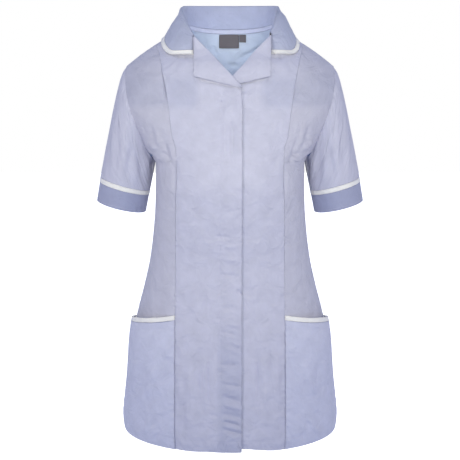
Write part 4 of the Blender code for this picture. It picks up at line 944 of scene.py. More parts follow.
def back_panel():
    """The back, in one piece from armhole to armhole."""
    def top(x):
        return np.where(np.abs(x) < NECK_HALF, nape_edge(x), shoulder_z(x, 1))
    start = refine((ARMHOLE["x"][-1], NECK_HALF, 0.0), BACK_COLUMN_STEP)[:-1]
    z = top(start) - 1e-6
    share = bearing(start, z, 1) / bearing(side_x(z), z, 1)
    share[0] = 1.0
    spread = np.concatenate([-share, (0.0,), share[::-1]])
    columns = between(lambda z: 0.0 * z, side_x, spread, 1)
    lift = body_lift(1, 1, SIDE_SEEDS["right"], SIDE_SEEDS["left"])
    return panel(1, columns, len(spread), top, level_hem, lift)


# Sleeves and cuffs

ARMHOLE_POINTS = 80
SLEEVE_ROWS = 64
BRAID_STEPS = 8
CUFF_STEPS = 22


def end_ring(outer, inner, share):
    """Points of a sleeve's level ring: an ellipse between an outer and an inner point."""
    outer, inner = (np.array((place[0], 0.0, place[1])) for place in (outer, inner))
    centre, radius = (outer + inner) / 2, (outer - inner) / 2
    angle = share * 2 * math.pi
    forward = np.array((0.0, -CUFF_HALF_DEPTH, 0.0))
    return centre + np.cos(angle)[:, None] * radius + np.sin(angle)[:, None] * forward


def armhole():
    """Points round the left armhole, down the front and up the back, and their shares of the ring.

    The shares are those of the solid's points, read at the same lengths along the seam.
    """
    top = 0.0
    for _ in range(SETTLING_ROUNDS):
        top = float(shoulder_z(side_x(np.array(top)), -1))
    levels = (YOKE_Z,) + ARMHOLE_LEVELS
    coarse = np.concatenate([top + (YOKE_Z - top) * np.array(YOKE_STEPS), levels])
    fine = np.concatenate([top + (YOKE_Z - top) * UPPER_SHARES, refine(levels, ROW_STEP)])
    halves, shares = [], []
    for side in (-1, 1):
        x = side_x(coarse)
        line = run(np.stack([x, body_y(x, coarse, side), coarse], axis=-1))
        part = np.arange(len(coarse)) / (2 * len(coarse) - 2)
        mixed = 0.35 * part + 0.65 * line / line[-1] / 2
        x = side_x(fine)
        near = np.stack([x, body_y(x, fine, side), fine], axis=-1)
        length = run(near)
        share = np.interp(length / length[-1], line / line[-1], mixed)
        even = np.linspace(0, length[-1], ARMHOLE_POINTS)
        halves.append(at_lengths(even, length, near))
        shares.append(np.interp(even, length, share))
    ring = np.concatenate([halves[0], halves[1][-2:0:-1]])
    return ring, np.concatenate([shares[0], 1 - shares[1][-2:0:-1]])


def sleeve_sheet(ring, share):
    """The left sleeve from the armhole to its braid, as rings between the two ends."""
    end = end_ring(SLEEVE_END_OUTER, SLEEVE_END_INNER, share)
    angle = (share * 2 * math.pi)[:, None]
    low = ramp(-ring[:, 2], 0.180, -UNDERARM_Z)
    clear = np.array((SLEEVE_CLEAR, 0.0, 0.0)) * low[:, None]
    start = ring + unit(end - ring) * (SEAM_GAP / 2)
    along = np.linspace(0, 1, SLEEVE_ROWS)[None, :]
    outward = smooth(SLEEVE, "outward", along, "along") * np.clip(np.cos(angle), 0, 1) ** 0.8
    sideways = smooth(SLEEVE, "sideways", along, "along") * np.sin(angle) ** 2
    points = start[:, None] + (end - start)[:, None] * along[..., None]
    points = points + clear[:, None] * (ramp(along, 0.0, 0.06) * (1 - along))[..., None]
    points = points + np.stack([outward, -sideways * np.sign(np.sin(angle)), 0.35 * outward], axis=-1)
    way_round = share[:, None] * SLEEVE_ROUND + 0 * along
    way_down = -along * SLEEVE_DROP + 0 * way_round
    lift = creased(way_round, way_down, SLEEVE_CREASES) * ramp(-way_down, 0.0, 0.014)
    lift = lift + groove(-way_down, 0.0006) + groove(way_down + SLEEVE_DROP, 0.0004)
    away = np.abs(way_round - SLEEVE_ROUND / 2)
    gathers = pucker(-way_down, way_round, 0.012, 0.0005, 1.9)
    return tube(points).moved(lift + gathers * ramp(0.14 - away, 0.0, 0.06)).faced()


def tube(points):
    """A sheet of rings, facing away from their middles."""
    return Sheet(points, points - points.mean(axis=0, keepdims=True), wrap=True).faced()


def tube_between(start_ring, end_ring_points, steps, gap_end, lift=0.0):
    """A tube between two rings that ends a little short of each."""
    shares = np.linspace(0, 1, steps + 1)[None, :, None]
    points = start_ring[:, None] + (end_ring_points - start_ring)[:, None] * shares
    return tube(points).moved(lift).trim(start_row=SEAM_TRIM, end_row=gap_end)


# Collar

# Points of a cross-section of the collar, and the row that lies along its roll
STAND_POINTS = 14
ROLL_POINTS = 13
FALL_POINTS = 36
ROLL_ROW = STAND_POINTS + ROLL_POINTS // 2


def neck_seam(cut, mirror):
    """The neck seam from the centre of the back over the shoulder to the gorge, on the +X side."""
    x = refine((0.0, NECK_HALF), 0.0022)
    z = nape_edge(x)
    points, normals = on_body(x, z, 1), surface_normal(x, z, 1)
    x = refine((NECK_HALF, abs(cut["gorge"][0])), 0.0007)[1:]
    z = front_top(-mirror * x, cut, mirror)
    points = np.concatenate([points, on_body(x, z, -1)])
    return points, np.concatenate([normals, surface_normal(x, z, -1)])


def distance_ratio(points):
    """Below 0 inside the body, 0 on its surface and above 0 outside it."""
    x, y, z = points[..., 0], points[..., 1], points[..., 2]
    ratio = []
    for side in (-1, 1):
        half, deep, power = section(z, side)
        up = 1 - np.minimum((shoulder_z(x, side) - z) / ARCH, 1.0)
        ratio.append(np.hypot(y / (deep * flatness(x, half, power, 0.999)), up) - 1)
    return np.where(y < 0, ratio[0], ratio[1])


def away_from_body(points):
    """How far points lie outside the body, and the direction away from it."""
    step = 1e-4
    slope = []
    for axis in np.eye(3) * step:
        slope.append((distance_ratio(points + axis) - distance_ratio(points - axis)) / (2 * step))
    slope = np.stack(slope, axis=-1)
    steepness = np.maximum(np.linalg.norm(slope, axis=-1), 1e-6)
    return distance_ratio(points) / steepness, slope / steepness[..., None]


def stand_off(points, least):
    """Move points that lie closer to the body than `least` out to it, with a soft bend between."""
    soft = 0.0008
    distance, _ = away_from_body(points)
    wanted = least + soft * np.logaddexp(0.0, (distance - least) / soft)
    for _ in range(4):
        distance, direction = away_from_body(points)
        points = points + direction * (wanted - distance)[..., None]
    return points


def collar_half(cut, mirror):
    """Half of the collar as cross-sections: up the stand, round the roll and down the fall."""
    seam, normals = neck_seam(cut, mirror)
    stations = run(seam) / run(seam)[-1]
    shoulder = stations[np.argmax(seam[:, 0])]
    fold = np.stack([smooth(COLLAR, "fold_" + axis, stations, "along") for axis in "xyz"], axis=-1)
    edge = np.stack([smooth(COLLAR, "edge_" + axis, stations, "along") for axis in "xyz"], axis=-1)
    if mirror < 0:
        wider = ramp(stations, 0.72, 1.0)[:, None]
        fold = fold + wider * LEFT_FOLD_SHIFT
        edge = edge + wider * LEFT_EDGE_SHIFT
    up = unit(fold - (seam + edge) / 2)
    out = unit(np.cross(up, np.gradient(fold, axis=0)))
    flat = unit(normals - np.sum(normals * up, axis=-1, keepdims=True) * up)
    out = unit(out + (flat - out) * ramp(stations, 0.80, 1.0)[:, None])[:, None]
    up = up[:, None]
    turn = np.radians(np.linspace(0, 180, ROLL_POINTS))[:, None]
    centre = fold[:, None] - up * COLLAR_ROLL
    roll = centre + COLLAR_ROLL * (-np.cos(turn) * out + np.sin(turn) * up)
    start = seam[:, None] + up * SEAM_GAP / 2
    stand = start + (roll[:, :1] - start) * np.linspace(0, 1, STAND_POINTS)[:-1, None]
    share = np.linspace(0, 1, FALL_POINTS)[1:, None]
    fall = roll[:, -1:] + (edge[:, None] - roll[:, -1:]) * share
    fall = stand_off(fall + out * COLLAR_BOW * (4 * share * (1 - share)), COLLAR_CLEAR)
    return np.concatenate([stand, roll, fall], axis=1), stations, shoulder


def cut_sections(lines, start, end, count):
    """Points along each line of a grid, evenly spaced between two lengths.

    The lines are set far apart along one scale, so that one interpolation serves them all.
    """
    shift = np.arange(len(lines))[:, None] * 10.0
    wanted = shift + start[:, None] + (end - start)[:, None] * np.linspace(0, 1, count)
    return at_lengths(wanted, (lengths(lines, 1) + shift).reshape(-1), lines)


def collar_sheets():
    """Collar, its braid and the neck band, from sections joined across the back."""
    right, right_places, right_share = collar_half(REVERS_RIGHT, 1)
    left, left_places, left_share = collar_half(REVERS_LEFT, -1)
    lines = np.concatenate([(right * FLIP)[::-1], left[1:]])
    place = np.concatenate([-right_places[::-1], left_places[1:]])
    share = np.where(place < 0, right_share, left_share)
    place = np.abs(place)
    banded = place <= share + 1e-6
    width = np.where(banded, NECK_BAND_WIDTH * (1 - 0.9 * ramp(place, share - 0.14, share)), 0.0)
    down = lengths(lines, 1)
    total = down[:, -1]
    way = run(lines[:, ROLL_ROW])
    way = (way - way[len(way) // 2])[:, None]
    down = down - down[:, ROLL_ROW:ROLL_ROW + 1]
    lift = creased(way, -down, COLLAR_CREASES) * (down > 0)
    lines = lines + own_normals(lines) * lift[..., None]
    made = [cut_sections(lines, width, total - BRAID_WIDTH - SEAM_GAP, 64),
            cut_sections(lines, total - BRAID_WIDTH, total, 12),
            cut_sections(lines[banded], 0 * width[banded], width[banded] - SEAM_GAP, 8)]
    return [Sheet(points, own_normals(points)).trim(start_column=SEAM_TRIM, end_column=SEAM_TRIM)
            for points in made]


# Lapels, pockets, labels and zip

CORNER_SHARE = 0.46
LAPEL_LIFT = table(("along", "lift"), (
    (0.0, 0.0032), (0.22, 0.0033), (0.45, 0.0034), (0.68, 0.0032), (0.86, 0.0030), (1.0, 0.0028),
))


def revers_sheet(cut, mirror, lift_over):
    """A turned lapel: round the roll line, then over the front to its free edge."""
    shares = refine((0.010, CORNER_SHARE, 1.0), 0.012)[:, None]
    down = np.clip(shares / CORNER_SHARE, 0, 1)
    over = np.clip((shares - CORNER_SHARE) / (1 - CORNER_SHARE), 0, 1)
    roll = cut["gorge"] + (cut["foot"] - cut["gorge"]) * shares
    start = cut["gorge"] - (0.0, GORGE_STEP)
    edge = start + (cut["corner"] - start) * down + (cut["tip"] - cut["corner"]) * over
    along = unit(cut["foot"] - cut["gorge"])
    beyond = np.array((-along[1], along[0])) * mirror
    turn = np.radians(np.linspace(0, 180, 12))
    radius = REVERS_LIFT / 2
    out, up = np.sin(turn) * radius + 0.0005, (1 - np.cos(turn)) * radius
    share = np.linspace(0, 1, 40)[1:]
    up = np.concatenate([up, np.interp(share, LAPEL_LIFT["along"], LAPEL_LIFT["lift"])])
    turned = beyond * out[:, None] + roll[:, None]
    flat = roll[:, None] + (edge - roll)[:, None] * share[:, None]
    x, z = np.moveaxis(np.concatenate([turned, flat], axis=1), -1, 0)
    points = on_body(x, z, -1, lift_over(x, z, np.broadcast_to(up, x.shape)))
    own, normal = own_normals(points), surface_normal(x, z, -1)
    return Sheet(points, own * np.sign(np.sum(own[:, -1:] * normal[:, -1:], axis=-1, keepdims=True)))


def over_fly(x, z, up):
    """The upper lapel rises a little where it crosses the placket."""
    return up + 0.0006 * ramp(x, -0.02, 0.01)


def over_under(x, z, up):
    """The other lapel follows the under front down, and is pressed flat below the first one."""
    return under_lift(x, z) + 0.0002 + up * (1 - 0.4 * ramp(0.030 - x, 0.0, 0.020))


def pocket_sheets():
    """A patch pocket and its braid over the side front, open at the mouth."""
    share = SIDE_SPREAD[:, None]
    place = between(princess_x, side_x, SIDE_SPREAD, -1)
    mouth_z = POCKET_MOUTH_INNER_Z + (POCKET_MOUTH_OUTER_Z - POCKET_MOUTH_INNER_Z) * share

    def at(z):
        x = place(z)
        down = np.clip((mouth_z - z) / (mouth_z - HEM_Z), 0, 1)
        bow = np.clip(np.sin(np.pi * share ** 1.25), 0, 1) ** 1.2
        side_stand = POCKET_SIDE_STAND * ramp(share, 0.5, 1.0) * (1 - ramp(down, 0.0, 0.45))
        lift = POCKET_LIFT + POCKET_BULGE * bow * (1 - ramp(down, 0.0, 0.75)) + side_stand
        folds = np.maximum(creased(-x, z, POCKET_CREASES), POCKET_DEEPEST)
        lift = lift + relief(x, z, -1) + folds + hem_curl(z)
        lift = lift + hem_sewing(x, z) * 0.8
        for distance, seed in zip(body_sheet(x, z, -1, lift).edges(), POCKET_SEEDS):
            lift = lift + groove(distance, 0.0007) + pucker(distance, z, 0.012, 0.0006, seed, 0.007)
        lift = lift + groove(z - mouth_z + STITCH_BELOW, 0.0005)
        return body_sheet(x, z, -1, lift).faced().trim(start_column=SEAM_GAP, end_column=SEAM_GAP)
    start = mouth_z - BRAID_WIDTH - SEAM_GAP
    return (at(start + (HEM_Z - start) * np.linspace(0, 1, 110)),
            at(mouth_z - BRAID_WIDTH * np.linspace(0, 1, 10)))


def labels():
    """The neck label and the size tab, both hanging from the back neck seam, inside."""
    made = {}
    for name, x_low, x_high, drop in LABELS:
        x, share = np.meshgrid(np.linspace(x_low, x_high, 30), np.linspace(0, 1, 24), indexing="ij")
        z = NAPE_Z - LABEL_START - drop * share
        made[name] = body_sheet(x, z, 1, LABEL_LIFT - LABEL_CURL * share ** 1.5)
    return made


# The left tape lies under its front, and the right one rises to the fly.
TAPES = {
    "zip_tape_left": table(("x", "lift"), ((0.0033, ZIP_DEPTH), (0.0165, ZIP_DEPTH))),
    "zip_tape_right": table(("x", "lift"), (
        (-0.0165, -0.0015), (-0.0125, -0.0017), (-0.0085, ZIP_DEPTH + 0.0006), (-0.0033, ZIP_DEPTH),
    )),
}


def zip_tape(rows):
    """One side of the zip's tape, from where it holds the teeth to its outer edge."""
    x, z = np.meshgrid(np.linspace(rows["x"][0], rows["x"][-1], 12),
                       refine((ZIP_TOP_Z, ZIP_BOTTOM_Z), 0.003), indexing="ij")
    return body_sheet(x, z, -1, np.interp(x, rows["x"], rows["lift"]) + relief(x, z, -1) + front_folds(x, z))


# Stitches and zip teeth

def placket_line(front):
    """The placket's line of stitches: where each row of the front passes the x of PLACKET_STITCH."""
    heights = front.points[..., 2].mean(axis=0)
    low, high = PLACKET_STITCH["height"][[0, -1]]
    rows = np.flatnonzero((low <= heights) & (heights <= high))
    wanted = smooth(PLACKET_STITCH, "x", heights[rows])
    columns = [index_of(x, front.points[:, k, 0]) for k, x in zip(rows, wanted)]
    return sample(front, np.array(columns), rows)


def sample(sheet, columns, rows):
    """Points and normals of a sheet between its columns and rows."""
    i = np.clip(np.floor(columns).astype(int), 0, sheet.points.shape[0] - 2)
    j = np.clip(np.floor(rows).astype(int), 0, sheet.points.shape[1] - 2)
    a, b = (columns - i)[:, None], (rows - j)[:, None]
    made = []
    for grid in (sheet.points, sheet.normals):
        made.append(grid[i, j] * (1 - a) * (1 - b) + grid[i + 1, j] * a * (1 - b)
                    + grid[i, j + 1] * (1 - a) * b + grid[i + 1, j + 1] * a * b)
    return made[0], unit(made[1])


def inset(sheet, edge, amount, start=0.0):
    """A line of a sheet at a distance from one of its edges, numbered as Sheet.edges gives them.

    It leaves out the share `start` of the edge.
    """
    distance = sheet.edges()[edge]
    at = [index_of(amount, line) for line in (distance.T if edge < 2 else distance)]
    first = int(start * (len(at) - 1))
    at, other = np.array(at[first:]), np.arange(first, len(at))
    return sample(sheet, at, other) if edge < 2 else sample(sheet, other, at)


STITCH = table(("along", "radius", "sink"), (
    (-0.50, 0.35, -0.9), (-0.34, 1.0, 0.0), (0.34, 1.0, 0.0), (0.50, 0.35, -0.9),
))
STITCH_LENGTH = 0.0024
STITCH_GAP = 0.0006
STITCH_RADIUS = 0.00016
# How far lines of stitches lie from the edges of their pieces
FLY_STITCH = 0.0012
FLY_STITCH_START = 0.16
LAPEL_STITCH = 0.0050
CUFF_STITCH = 0.0040
BRAID_STITCHES = (0.0009, BRAID_WIDTH - 0.0012)
POCKET_STITCHES = ((0, 0.0022), (1, 0.0022), (2, STITCH_BELOW - BRAID_WIDTH), (3, HEM_TURN))


def stitch_places(points, normals, lift):
    """Middles, directions and normals of the stitches along a line."""
    length = run(points)
    count = max(int(length[-1] / (STITCH_LENGTH + STITCH_GAP)), 1)
    middle = (np.arange(count) + 0.5) * length[-1] / count
    start, end = (at_lengths(middle + d, length, points) for d in (-STITCH_LENGTH / 2, STITCH_LENGTH / 2))
    normal = unit(at_lengths(middle, length, normals))
    return (start + end) / 2 + normal * lift, unit(end - start), normal


def stitches(name, lines, finish, thickness=CLOTH):
    """Every stitch of some lines as one mesh: a four-sided thread whose ends dip into the cloth."""
    lift = thickness / 2 + STITCH_RADIUS / 2
    parts = [stitch_places(points, normals, lift) for points, normals in lines]
    middle, ahead, normal = (np.concatenate(part) for part in zip(*parts))
    side = unit(np.cross(ahead, normal))
    angle = np.arange(4) * math.pi / 2 + math.pi / 4
    along, radius, sink = (STITCH[key][:, None] for key in ("along", "radius", "sink"))
    a = np.broadcast_to(along * STITCH_LENGTH, (4, 4))
    b = radius * STITCH_RADIUS * np.cos(angle)
    c = (radius * np.sin(angle) + sink) * STITCH_RADIUS
    vertices = (middle[:, None, None] + a[None, ..., None] * ahead[:, None, None]
                + b[None, ..., None] * side[:, None, None] + c[None, ..., None] * normal[:, None, None])
    ring = np.arange(16).reshape(4, 4)
    sides = np.concatenate([quads(ring.T, True), ring[:1, ::-1], ring[-1:]])
    faces = sides + 16 * np.arange(len(middle))[:, None, None]
    small_piece(name, vertices.reshape(-1, 3), faces, finish)


def small_piece(name, vertices, faces, finish):
    """A joined mesh of many small closed parts that rides on the garment, facing outwards.

    The faces come in one group for each part.
    """
    corner = vertices[faces]
    centre = corner.mean(axis=(1, 2))[:, None]
    spread = np.cross(corner[..., 2, :] - corner[..., 0, :], corner[..., 3, :] - corner[..., 1, :])
    inwards = np.sum((corner.mean(axis=2) - centre) * spread, axis=-1) < 0
    faces = np.where(inwards[..., None], faces[..., ::-1], faces)
    thing = add_mesh(name, vertices, faces.reshape(-1, 4), finish)
    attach(thing, "garment")
    return thing


def zip_teeth(finish):
    """The closed teeth: small blocks that alternate from side to side along the tape."""
    z = np.arange(ZIP_TOP_Z - 0.0055, ZIP_BOTTOM_Z + 0.004, -TOOTH_PITCH)
    side = np.where(np.arange(len(z)) % 2 == 0, 1.0, -1.0)
    x = side * TOOTH_OFFSET
    middle = on_body(x, z, -1, ZIP_DEPTH + relief(x, z, -1) + front_folds(x, z))
    normal = surface_normal(0 * x, z, -1)
    up = unit(np.cross(np.array((1.0, 0.0, 0.0)), normal))
    corners = np.array([(i, j, k) for i in (-1, 1) for j in (-1, 1) for k in (-1, 1)], float)
    taper = 1 - 0.35 * (corners[None, :, 0] * side[:, None] < 0)
    wide, deep, high = TOOTH_HALF_SIZE
    vertices = (middle[:, None] + corners[None, :, :1] * np.array((wide, 0.0, 0.0))
                + (corners[None, :, 1] * deep)[..., None] * normal[:, None]
                + (corners[None, :, 2] * taper * high)[..., None] * up[:, None])
    block = np.array(((0, 1, 3, 2), (4, 6, 7, 5), (0, 4, 5, 1), (2, 3, 7, 6), (0, 2, 6, 4), (1, 5, 7, 3)))
    faces = block + 8 * np.arange(len(z))[:, None, None]
    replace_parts(small_piece("zip_teeth", vertices.reshape(-1, 3), faces, finish), "zip_chain")


# Finishes

class Value:
    """A shader value that takes part in sums and products."""

    def __init__(self, paint, socket):
        self.paint, self.socket = paint, socket

    def _math(self, operation, *values):
        return self.paint.value("ShaderNodeMath", {"operation": operation}, values)

    def __add__(self, other):
        return self._math("ADD", self, other)

    __radd__ = __add__

    def __mul__(self, other):
        return self._math("MULTIPLY", self, other)

    __rmul__ = __mul__

    def __sub__(self, other):
        return self._math("SUBTRACT", self, other)

    def __rsub__(self, other):
        return self._math("SUBTRACT", other, self)

    def sine(self):
        """The sine of an angle in radians."""
        return self._math("SINE", self)

    def absolute(self):
        """The value without its sign."""
        return self._math("ABSOLUTE", self)

    def ramp(self, start, end):
        """0 at start, 1 at end and held outside them."""
        return self.paint.value("ShaderNodeMapRange", {}, {"Value": self, "From Min": start, "From Max": end})


class Paint:
    """A material and short ways to add its nodes."""

    def __init__(self, name):
        self.material = bpy.data.materials.new(name)
        self.material.use_nodes = True
        self.tree = self.material.node_tree
        self.shader = self.tree.nodes["Principled BSDF"]

    def node(self, kind, settings, inputs=()):
        """A node with its settings, and with values or links in its sockets."""
        made = self.tree.nodes.new(kind)
        for name, value in settings.items():
            setattr(made, name, value)
        pairs = inputs.items() if isinstance(inputs, dict) else enumerate(inputs)
        for key, value in pairs:
            self.feed(made.inputs[key], value)
        return made

    def feed(self, target, value):
        """Link a value to a socket, or set the socket to a number or a colour."""
        if isinstance(value, Value):
            self.tree.links.new(value.socket, target)
        else:
            target.default_value = value

    def value(self, kind, settings, inputs=(), output=0):
        """One output of a new node."""
        return Value(self, self.node(kind, settings, inputs).outputs[output])

    def noise(self, vector, scale, **settings):
        """An uneven pattern of about `scale` lumps in a metre."""
        return self.value("ShaderNodeTexNoise", {}, {"Vector": vector, "Scale": scale, **settings})

    def place(self):
        """The object coordinates."""
        return self.value("ShaderNodeTexCoord", {}, output=3)

    def mix(self, factor, dark, light, blend="MIX"):
        """A colour between two colours, or the first one times the second."""
        node = self.node("ShaderNodeMix", {"data_type": "RGBA", "blend_type": blend})
        for socket, value in zip((node.inputs[0], node.inputs[6], node.inputs[7]), (factor, dark, light)):
            self.feed(socket, value)
        return Value(self, node.outputs[2])

    def set(self, **values):
        """Feed sockets of the shader."""
        for name, value in values.items():
            self.feed(self.shader.inputs[name.replace("_", " ")], value)


TUNIC_BLUE = (0.530, 0.537, 0.690)
# Wrong side of the twill: paler, and also painted lighter and bluer as the light inside the neck
WRONG_SIDE_AND_PAINTED_LIGHT = (0.570, 0.645, 0.800)
# Painted shade: the colour is multiplied by this tint where a finish's region is 1
PAINTED_SHADE_TINT = (0.865, 0.880, 0.915)
MOTTLE = 0.13


def woven(name, colour, pitch=0.0005, bump=0.12, roughness=0.85, wrinkle=0.0055, paler_lit_inside=False, painted_shade_region=None):
    """Twill: diagonal ribs sin(2 pi (u + v) / pitch) in the bump, over faint wrinkles, with an uneven colour.

    Lined cloth has a paler wrong side, also painted lighter and bluer as light inside the neck. Where the
    region of x and z is 1, the colour is times a tint of painted shade.
    """
    paint = Paint(name)
    uv = paint.value("ShaderNodeUVMap", {"uv_map": "UVMap"})
    parts = paint.node("ShaderNodeSeparateXYZ", {}, [uv])
    u, v = Value(paint, parts.outputs[0]), Value(paint, parts.outputs[1])
    turns = 2 * math.pi / pitch
    rib = ((u + v) * turns).sine()
    grain = (u * turns).sine() * (v * turns).sine()
    ribs = {"Strength": bump, "Distance": pitch * 0.2, "Height": rib * 0.6 + grain * 0.4}
    noise = paint.noise(uv, 42.0, Detail=5.0, Roughness=0.55)
    if wrinkle:
        broad = paint.noise(uv, 34.0, Detail=3.0, Distortion=0.6)
        soft = {"Strength": 1.0, "Distance": wrinkle, "Height": broad}
        ribs["Normal"] = paint.value("ShaderNodeBump", {}, soft)
    dark = tuple(c * (1 - MOTTLE) for c in colour)
    light = tuple(min(c * (1 + MOTTLE), 1.0) for c in colour)
    shade = paint.mix(noise, (*dark, 1.0), (*light, 1.0))
    # Painted shade: the colour is darkened by the tint where the region is 1
    if painted_shade_region:
        place = paint.node("ShaderNodeSeparateXYZ", {}, [paint.place()])
        painted_shade_mask = painted_shade_region(Value(paint, place.outputs[0]), Value(paint, place.outputs[2]))
        shade = paint.mix(painted_shade_mask, shade, (*PAINTED_SHADE_TINT, 1.0), "MULTIPLY")
    # Paler wrong side, with painted light
    if paler_lit_inside:
        inside = paint.value("ShaderNodeAttribute", {"attribute_name": "inside"}, output=2)
        shade = paint.mix(inside, shade, (*WRONG_SIDE_AND_PAINTED_LIGHT, 1.0))
    paint.set(Base_Color=shade, Roughness=roughness, Sheen_Weight=0.2, Sheen_Roughness=0.5,
              Normal=paint.value("ShaderNodeBump", {}, ribs))
    return paint.material


def placket_painted_shade(x, z):
    """The lower placket, painted darker as its shade."""
    return z.ramp(-0.470, -0.540) * x.ramp(-0.0250, -0.0150)


def upper_painted_shade(x, z):
    """A band above the chest, to each side of the lapels, painted a little darker as shade."""
    return x.absolute().ramp(0.048, 0.062) * z.ramp(-0.122, -0.109) * z.ramp(-0.045, -0.075)


def front_painted_shade(x, z):
    """The painted shade of the lower placket and of the band above the chest."""
    return placket_painted_shade(x, z) + upper_painted_shade(x, z)


def braided(name, colour):
    """Woven braid: ribs across its width."""
    return woven(name, colour, pitch=0.0012, bump=0.5, roughness=0.75)


def plain(name, colour, roughness):
    """Spun thread or moulded nylon: one colour, a little uneven."""
    paint = Paint(name)
    dark = tuple(c * 0.93 for c in colour)
    shade = paint.mix(paint.noise(paint.place(), 1500.0), (*dark, 1.0), (*colour, 1.0))
    paint.set(Base_Color=shade, Roughness=roughness)
    return paint.material


def metal(name, colour):
    """Worn zip metal with a faint uneven sheen."""
    paint = Paint(name)
    noise = paint.noise(paint.place(), 900.0, Detail=2.0)
    paint.set(Base_Color=(*colour, 1.0), Metallic=1.0, Roughness=noise * 0.15 + 0.28)
    return paint.material


def finishes():
    """Every material, by the name of what it dresses."""
    return {
        "tunic": woven("tunic_twill", TUNIC_BLUE, paler_lit_inside=True),
        # Painted shade: the placket and front finishes are darker over the lower placket and a band above the
        # chest
        "placket": woven("placket_twill_painted_shade", TUNIC_BLUE, paler_lit_inside=True, painted_shade_region=front_painted_shade),
        "front": woven("front_twill_painted_shade", TUNIC_BLUE, paler_lit_inside=True, painted_shade_region=upper_painted_shade),
        # Painted shade: the same twill, a little darker and greyer for side fronts that face away from the
        # light, and darker over the band above the chest
        "side": woven("side_twill_painted_shade", (0.512, 0.515, 0.648), paler_lit_inside=True, painted_shade_region=upper_painted_shade),
        # Painted shade: the same twill as the sleeve, much darker as the shade of the turned-up cuff
        "cuff": woven("cuff_twill_painted_shade", (0.330, 0.355, 0.535)),
        # Painted shade: the same twill, darker as the shade of the collar's fall
        "collar": woven("collar_twill_painted_shade", (0.435, 0.465, 0.630)),
        # Painted light: the same twill, lighter for the light on the band inside the neck
        "band": woven("neck_band_twill_painted_light", (0.560, 0.580, 0.740)),
        # Painted light: the same twill, lighter for the light that falls on the pocket
        "pocket": woven("pocket_twill_painted_light", (0.562, 0.580, 0.755)),
        "braid": braided("white_braid_weave", (0.930, 0.915, 0.940)),
        "label": woven("label_satin", (0.132, 0.118, 0.130), pitch=0.0007, wrinkle=0.0),
        "tape": woven("zip_tape_weave", (0.500, 0.530, 0.700), pitch=0.0009, wrinkle=0.0),
        "metal": metal("zip_silver", (0.56, 0.56, 0.57)),
        "nylon": plain("zip_nylon_gloss", (0.62, 0.64, 0.74), 0.45),
        "thread": plain("pale_thread", (0.600, 0.610, 0.760), 0.7),
        "white thread": plain("white_thread", (0.800, 0.790, 0.820), 0.7),
    }


# Light, floor and camera

SURROUND = (0.30, 0.355, 0.55)
WHITE = (1.0, 1.0, 1.0, 1.0)
FLOOR_Z = -1.1
FLOOR_HALF = 8.0
CAMERA_PLACE = (0.0, -1.546, -0.0704)
CAMERA_TARGET = (0.0, 0.0, -0.343)
LENS = 66.5
# Each lamp's place, target, size, power and colour: one in front, one behind, one to each side and
# a faint one in the neck, towards the inside of the back.
LAMPS = (
    ((0.0, -0.95, 0.02), (0.0, 0.0, -0.10), 0.6, 5.6, (1.0, 0.96, 0.70)),
    ((0.0, 1.5, 0.0), (0.0, 0.0, -0.30), 0.9, 7.0, (1.0, 0.94, 0.72)),
    ((-1.5, -0.7, -0.1), (0.0, 0.0, -0.30), 0.9, 5.0, (1.0, 0.85, 0.50)),
    ((1.5, -0.7, -0.1), (0.0, 0.0, -0.30), 0.9, 5.0, (1.0, 0.85, 0.50)),
    ((0.0, -0.03, -0.005), (0.0, 0.085, -0.03), 0.09, 0.060, (0.86, 0.91, 1.0)),
)


def surroundings():
    """Soft light from all round, where the camera sees plain white."""
    world = bpy.data.worlds.new("studio")
    world.use_nodes = True
    nodes, links = world.node_tree.nodes, world.node_tree.links
    seen, level = nodes.new("ShaderNodeLightPath"), nodes.new("ShaderNodeMix")
    level.data_type = "RGBA"
    level.inputs[6].default_value = (*SURROUND, 1.0)
    level.inputs[7].default_value = WHITE
    links.new(seen.outputs["Is Camera Ray"], level.inputs[0])
    links.new(level.outputs[2], nodes["Background"].inputs["Color"])
    bpy.context.scene.world = world


def floor():
    """A white floor below the garment, which throws no light up to it."""
    paint = Paint("floor_white")
    noise = paint.value("ShaderNodeTexNoise", {}, {"Scale": 40.0})
    shade = paint.mix(noise, (0.80, 0.80, 0.80, 1.0), (0.82, 0.82, 0.82, 1.0))
    paint.set(Base_Color=shade, Roughness=0.9, Emission_Color=WHITE, Emission_Strength=1.2)
    corners = np.array([(-1, -1), (1, -1), (1, 1), (-1, 1)]) * FLOOR_HALF
    corners = np.column_stack([corners, np.full(4, FLOOR_Z)])
    ground = add_mesh("floor", corners, np.array([[0, 1, 2, 3]]), paint.material)
    ground.visible_diffuse = False


def aim(thing, target):
    """Turn a lamp or camera towards a point, with its top up."""
    direction = Vector(target) - Vector(thing.location)
    thing.rotation_euler = direction.to_track_quat("-Z", "Y").to_euler()


def studio():
    """The surroundings, the floor, the lamps and the camera."""
    surroundings()
    floor()
    for place, target, size, power, colour in LAMPS:
        lamp = bpy.data.lights.new("lamp", "AREA")
        lamp.size, lamp.energy, lamp.color = size, power, colour
        thing = place_object("lamp", lamp)
        thing.location = place
        aim(thing, target)
        thing.visible_camera = False
    data = bpy.data.cameras.new("camera")
    data.sensor_width, data.lens = 36.0, LENS
    camera = place_object("camera", data)
    camera.location = CAMERA_PLACE
    aim(camera, CAMERA_TARGET)
    bpy.context.scene.camera = camera
    bpy.context.scene.view_settings.view_transform = "Standard"


# The garment

def dress_body(finish):
    """The fronts and the back. Gives the front that laps over, and the stitches along the hems."""
    right, left = fronts()
    right.trim(start_column=SEAM_TRIM, start_row=SEAM_TRIM)
    left.trim(start_column=SEAM_TRIM, start_row=SEAM_TRIM)
    back = back_panel().trim(start_column=SEAM_TRIM, end_column=SEAM_TRIM, start_row=SEAM_TRIM)
    hemmed_cloth("front_right", right, finish["placket"])
    hemmed_cloth("front_left", left, finish["front"])
    hemmed_cloth("back", back, finish["tunic"])
    return right, [inset(sheet, 3, HEM_TURN) for sheet in (right, left, back)]


